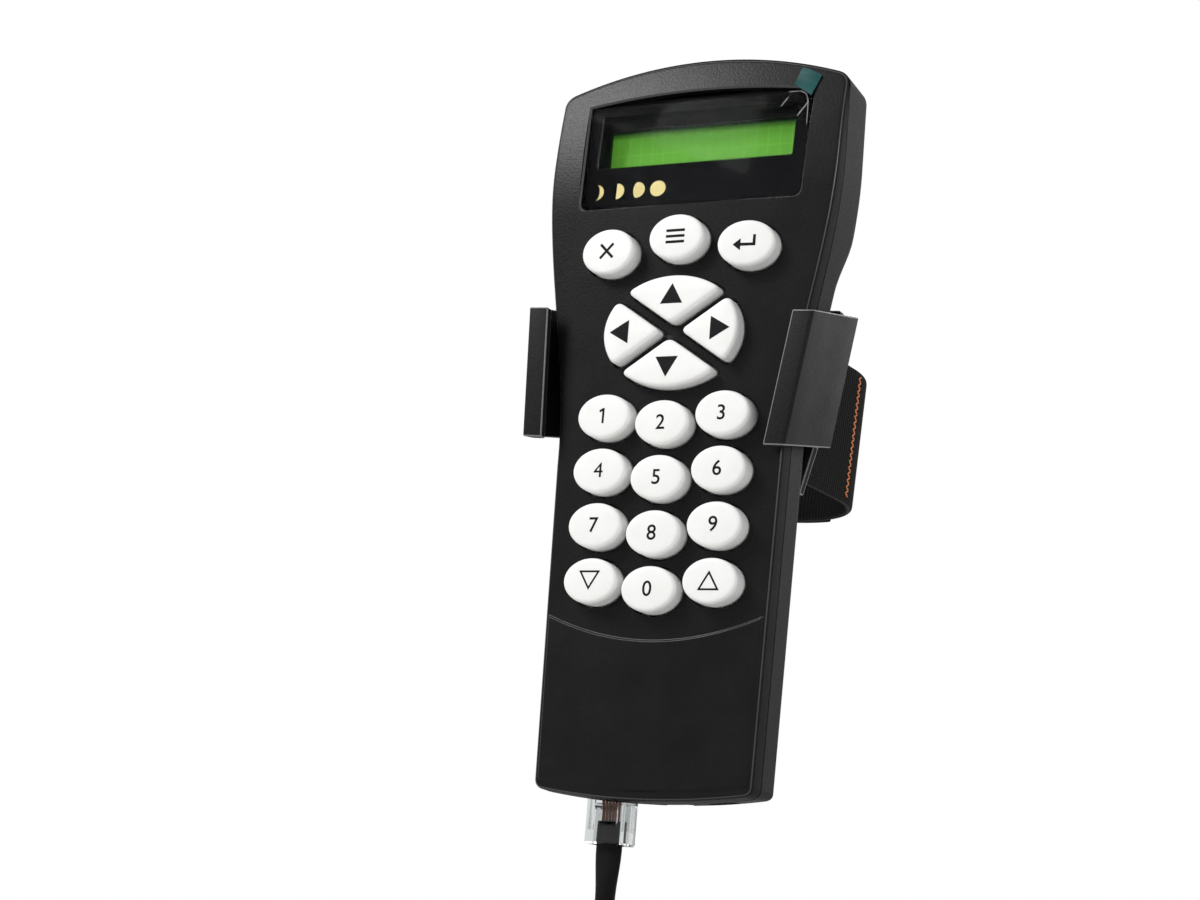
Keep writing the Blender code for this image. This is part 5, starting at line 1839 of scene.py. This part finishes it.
    def band(self, name: str, node: str, path: Sequence[Flat], closed: bool,
             look: bpy.types.Material) -> bpy.types.Object:
        """Ribbed woven band along a path.

        Args:
            name: Name of the piece.
            node: Node that it stands for.
            path: Middle line, across and out.
            closed: Whether the band closes on itself.
            look: Its material.

        Returns:
            The band.
        """
        path = self.resampled(path, closed)
        count = len(path)
        low, high = self.strap
        edge = ((0.0, 0.25), (0.18, 0.62), (0.5, 0.9), (1.1, 1.0))
        widths = [(low + inset, share) for inset, share in edge]
        widths += [(up, 1.0) for up in spread(low + 1.1, high - 1.1, 6)[1:-1]]
        widths += [(high - inset, share) for inset, share in reversed(edge)]
        rings = []
        for index, point in enumerate(path):
            here = Vector(point)
            before = Vector(path[index - 1]) if closed or index else here
            after = Vector(path[(index + 1) % count]) if closed or index < count - 1 else here
            way = (after - before).normalized()
            side = Vector((-way.y, way.x))
            end = 1.0 if closed else smooth((min(index, count - 1 - index) + 3.0) / 9.0)
            rib = 1.0 - self.rib_deep * (1.0 - math.cos(2.0 * math.pi * index / 6.0))
            half = self.strap_thick / 2.0 * rib * end
            ring = []
            for facing in (1.0, -1.0):
                for up, share in widths if facing > 0.0 else reversed(widths):
                    spot = here + side * (facing * half * share)
                    ring.append(self.lay(spot.x, up, spot.y))
            rings.append(ring)
        skin = Skin()
        skin.loft(rings, closed=closed)
        piece = skin.done(name, look, 60.0)
        return settle(piece, Body.HOLDER.value, Slot.WEBBING, node)

    def flap(self) -> list[Flat]:
        """Middle line of the overlap that closes the strap behind the leg."""
        radius = self.leg_radius + 2.0 * GAP + self.strap_thick * 1.5
        turns = spread(math.radians(self.flap_turn[0]), math.radians(self.flap_turn[1]), 40)
        return [(radius * math.cos(turn), self.leg_centre() + radius * math.sin(turn)) for turn in turns]

    def stitches(self, thread: bpy.types.Material) -> bpy.types.Object:
        """Zigzag of orange thread across the strap."""
        radius = self.leg_radius + GAP + self.strap_thick + 0.02
        centre = self.leg_centre()
        corners = []
        for index, up in enumerate(spread(self.strap[0] + 1.6, self.strap[1] - 1.2, 38)):
            turn = math.radians(self.stitch_turn) + (0.8 if index % 2 else -0.8) / radius
            corners.append(Vector(place(*self.lay(radius * math.cos(turn), up,
                                                  centre + radius * math.sin(turn)))))
        piece = point_cloud("zigzag_stitches", [(0.0, 0.0, 0.0)] * (len(corners) - 1))
        way = piece.data.attributes.new("way", "FLOAT_VECTOR", "POINT")
        long = 0.0
        for index, (first, second) in enumerate(zip(corners, corners[1:])):
            piece.data.vertices[index].co = (first + second) / 2.0
            way.data[index].vector = second - first
            long = (second - first).length
        stitch_tree().run(piece, {"Thread Size": (0.21 * MM, 0.21 * MM, long * 0.56), "Look": thread}, 80.0)
        return settle(piece, Body.HOLDER.value, Slot.WEBBING)

    def build(self, coat: bpy.types.Material, edge: bpy.types.Material, woven: bpy.types.Material,
              thread: bpy.types.Material) -> None:
        """Build the sheet, the strap, its flap and the stitches."""
        self.build_sheet(coat, edge)
        self.band("woven_strap", "strap", self.loop(), True, woven)
        self.band("woven_flap", "strap_flap", self.flap(), False, woven)
        self.stitches(thread)


@dataclass
class Studio:
    """Camera at the photograph's angle, soft light, white surroundings and a pale floor."""

    lens: float = 75.0
    stand: Point = (0.23444, -0.51336, -0.14004)
    right: Point = (0.8958571, 0.4364102, 0.0835837)
    upwards: Point = (0.0223153, -0.2320568, 0.9724462)
    back: Point = (0.4437816, -0.8693077, -0.2176284)
    world_light: float = 0.36
    floor_half: float = 2.0
    floor_colour: Colour = (0.86, 0.86, 0.85)

    def camera(self) -> None:
        """Make the scene's camera."""
        made = bpy.data.cameras.new("camera")
        made.lens = self.lens
        made.sensor_width = 36.0
        made.clip_start, made.clip_end = 0.01, 50.0
        holder = bpy.data.objects.new("camera", made)
        bpy.context.scene.collection.objects.link(holder)
        columns = zip(self.right, self.upwards, self.back, self.stand)
        holder.matrix_world = Matrix([*columns, (0.0, 0.0, 0.0, 1.0)])
        bpy.context.scene.camera = holder

    def lamp(self, name: str, stand: Point, aim: Point, size: float, power: float) -> None:
        """Square soft light that faces a point."""
        made = bpy.data.lights.new(name, "AREA")
        made.size = size
        made.energy = power
        holder = bpy.data.objects.new(name, made)
        bpy.context.scene.collection.objects.link(holder)
        holder.location = stand
        holder.rotation_euler = (Vector(aim) - Vector(stand)).to_track_quat("-Z", "Y").to_euler()

    def surroundings(self) -> None:
        """World that lights softly and shows white to the eye, to gloss and through clear pieces."""
        world = bpy.data.worlds.new("surroundings")
        world.use_nodes = True
        bpy.context.scene.world = world
        nodes, links = world.node_tree.nodes, world.node_tree.links
        light = nodes["Background"]
        light.inputs["Strength"].default_value = self.world_light
        light.inputs["Color"].default_value = (1.0, 1.0, 1.0, 1.0)
        white = nodes.new("ShaderNodeBackground")
        white.inputs["Color"].default_value = (1.0, 1.0, 1.0, 1.0)
        path = nodes.new("ShaderNodeLightPath")
        seen = path.outputs["Is Camera Ray"]
        for name in ("Is Glossy Ray", "Is Transmission Ray"):
            either = nodes.new("ShaderNodeMath")
            either.operation = "MAXIMUM"
            links.new(seen, either.inputs[0])
            links.new(path.outputs[name], either.inputs[1])
            seen = either.outputs[0]
        mixed = nodes.new("ShaderNodeMixShader")
        links.new(seen, mixed.inputs[0])
        links.new(light.outputs[0], mixed.inputs[1])
        links.new(white.outputs[0], mixed.inputs[2])
        links.new(mixed.outputs[0], nodes["World Output"].inputs["Surface"])

    def floor(self, level: float) -> None:
        """Pale floor at a height in metres."""
        half = self.floor_half
        mesh = bpy.data.meshes.new("floor")
        mesh.from_pydata([(-half, -half, level), (half, -half, level), (half, half, level),
                          (-half, half, level)], [], [(0, 1, 2, 3)])
        bench = NodeBench("pale_floor")
        bench.set({"Base Color": self.floor_colour, "Roughness": 0.9, "Specular IOR Level": 0.1})
        mesh.materials.append(bench.material)
        piece = bpy.data.objects.new("floor", mesh)
        bpy.context.scene.collection.objects.link(piece)
        piece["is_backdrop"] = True

    def build(self, level: float) -> None:
        """Set the lights, the world and the floor."""
        self.surroundings()
        self.lamp("main_light", (-0.62, -0.70, 0.75), (0.0, -0.02, 0.0), 0.4, 11.5)
        self.lamp("fill_light", (0.90, -0.42, 0.38), (0.0, -0.02, 0.0), 0.3, 2.0)
        self.lamp("side_light", (0.50, 0.95, 0.45), (0.0, -0.02, 0.0), 0.6, 1.8)
        self.lamp("rear_light", (-0.55, 0.95, 0.60), (0.0, 0.0, -0.05), 0.6, 6.0)
        self.floor(level)
        bpy.context.scene.view_settings.view_transform = "Standard"


def dress(frame: dict[str, Any], looks: dict[str, bpy.types.Material]) -> None:
    """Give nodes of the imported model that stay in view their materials."""
    for name, look in looks.items():
        node = frame["nodes"][name]
        if not node.material_slots:
            node.data.materials.append(look)
        for slot in node.material_slots:
            slot.material = look
        LOG.info("%s keeps its node", name)


def main() -> None:
    """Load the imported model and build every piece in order."""
    logging.basicConfig(level=logging.INFO, format="%(name)s: %(message)s")
    for item in list(bpy.data.objects):
        bpy.data.objects.remove(item, do_unlink=True)
    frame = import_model()
    low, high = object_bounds()
    studio = Studio()
    studio.camera()

    black = MouldedPlastic("textured_black_plastic", (0.0035, 0.0035, 0.004), (0.007, 0.007, 0.0075)).make()
    # Glossier plastic for the face's rolled edge and the pocket's rim; its lighter colour is a painted highlight
    # along these edges.
    glossy_edge_highlight = MouldedPlastic("polished_edges", (0.018, 0.018, 0.019), (0.028, 0.028, 0.029), (0.20, 0.30), 0.5,
                            0.8, 0.01).make()
    # Plastic for the smile-shaped step: a little glossier, with a lighter colour that is a painted highlight along
    # the step's upper edge.
    step = MouldedPlastic("step_plastic", (0.008, 0.008, 0.009), (0.014, 0.014, 0.015), (0.28, 0.36), 0.22, 0.8, 0.01)
    side = MouldedPlastic("side_plastic", (0.004, 0.004, 0.0045), (0.008, 0.008, 0.0085), (0.5, 0.6), 0.055)
    matte = MouldedPlastic("tunnel_plastic", (0.004, 0.005, 0.005), (0.006, 0.008, 0.008), (0.7, 0.8), 0.05).make()
    jacket = MouldedPlastic("cable_jacket", (0.004, 0.004, 0.004), (0.008, 0.008, 0.008), (0.5, 0.6), 0.05,
                            0.8, 0.02).make()
    inner = MouldedPlastic("jack_plastic", (0.012, 0.012, 0.012), (0.02, 0.02, 0.02)).make()
    clear = ClearPlastic("clear_plug_plastic", (0.66, 0.68, 0.68), bend=1.3).make()
    lens = ClearPlastic("window_plastic", roughness=0.02, bend=1.05, flow=0.002).make()
    woven = Webbing().make()
    amber = PrintInk("wire_amber", (0.30, 0.085, 0.02), (0.16, 0.04, 0.01), 0.4).make()

    sides = side.make()
    cable = CableSet()
    cable.build(clear, jacket, woven, amber)
    housing = Housing()
    keypad = KeyPad(housing)
    window = DisplayWindow(housing)
    holes = Skin()
    keypad.holes(holes)
    housing.front((window.seat(), window.tunnel()),
                  (holes.done("hole_tool"), window.pocket_tool(), window.view_tool()),
                  (black, glossy_edge_highlight, matte, step.make(), sides))
    mouths = Skin()
    cable.mouths(mouths)
    housing.rear(mouths, black, sides)
    housing.screws(PlainMetal("blackened_steel", (0.10, 0.10, 0.105), (0.3, 0.45)).make())
    keypad.build(KeyRubber().make(), PrintInk("key_ink", (0.006, 0.006, 0.007), (0.014, 0.014, 0.014), 0.6, 0.08).make())
    window.lens(lens)
    window.mask(PrintInk("mask_ink", (0.004, 0.004, 0.005), (0.006, 0.006, 0.007), 0.5, 0.02).make())
    window.moons(PrintInk("moon_ink", (0.75, 0.62, 0.26), (0.70, 0.57, 0.22)).make())
    # The clear film's second colour is near white: a painted highlight along its folds.
    window.film(ThinFilm("clear_film", (0.02, 0.022, 0.022), (0.7, 0.72, 0.72), 0.006, 0.35, wrinkle=0.004).make())
    window.tab(ThinFilm("teal_film", (0.004, 0.058, 0.056), (0.006, 0.078, 0.076), 0.85, roughness=0.45).make())
    cradle = Cradle()
    coat = CoatedSheet("cradle_coat", (0.006, 0.006, 0.007), (0.014, 0.014, 0.015)).make()
    # Light grey, glossier coat for the bevelled edges: a painted highlight along them.
    edge = CoatedSheet("cradle_edge", (0.13, 0.13, 0.135), (0.20, 0.20, 0.205), (0.35, 0.45), 0.5).make()
    cradle.build(coat, edge, woven, Thread().make())
    board = MouldedPlastic("board_green", (0.010, 0.10, 0.04), (0.014, 0.13, 0.05), (0.35, 0.5)).make()
    bezel = PlainMetal("black_bezel", (0.02, 0.02, 0.02), (0.4, 0.55)).make()
    dress(frame, {"display_glass": DisplayGlow().make(), "display_bezel": bezel, "display_board": board,
                  "main_board": board, "pin_strip": inner, "processor_chip": inner,
                  "keypad_mat": KeyRubber("mat_rubber").make(), "cable_jack": inner, "data_jack": inner,
                  "power_jack": inner})
    studio.build(low.z - 0.0005)


if __name__ == "__main__":
    main()
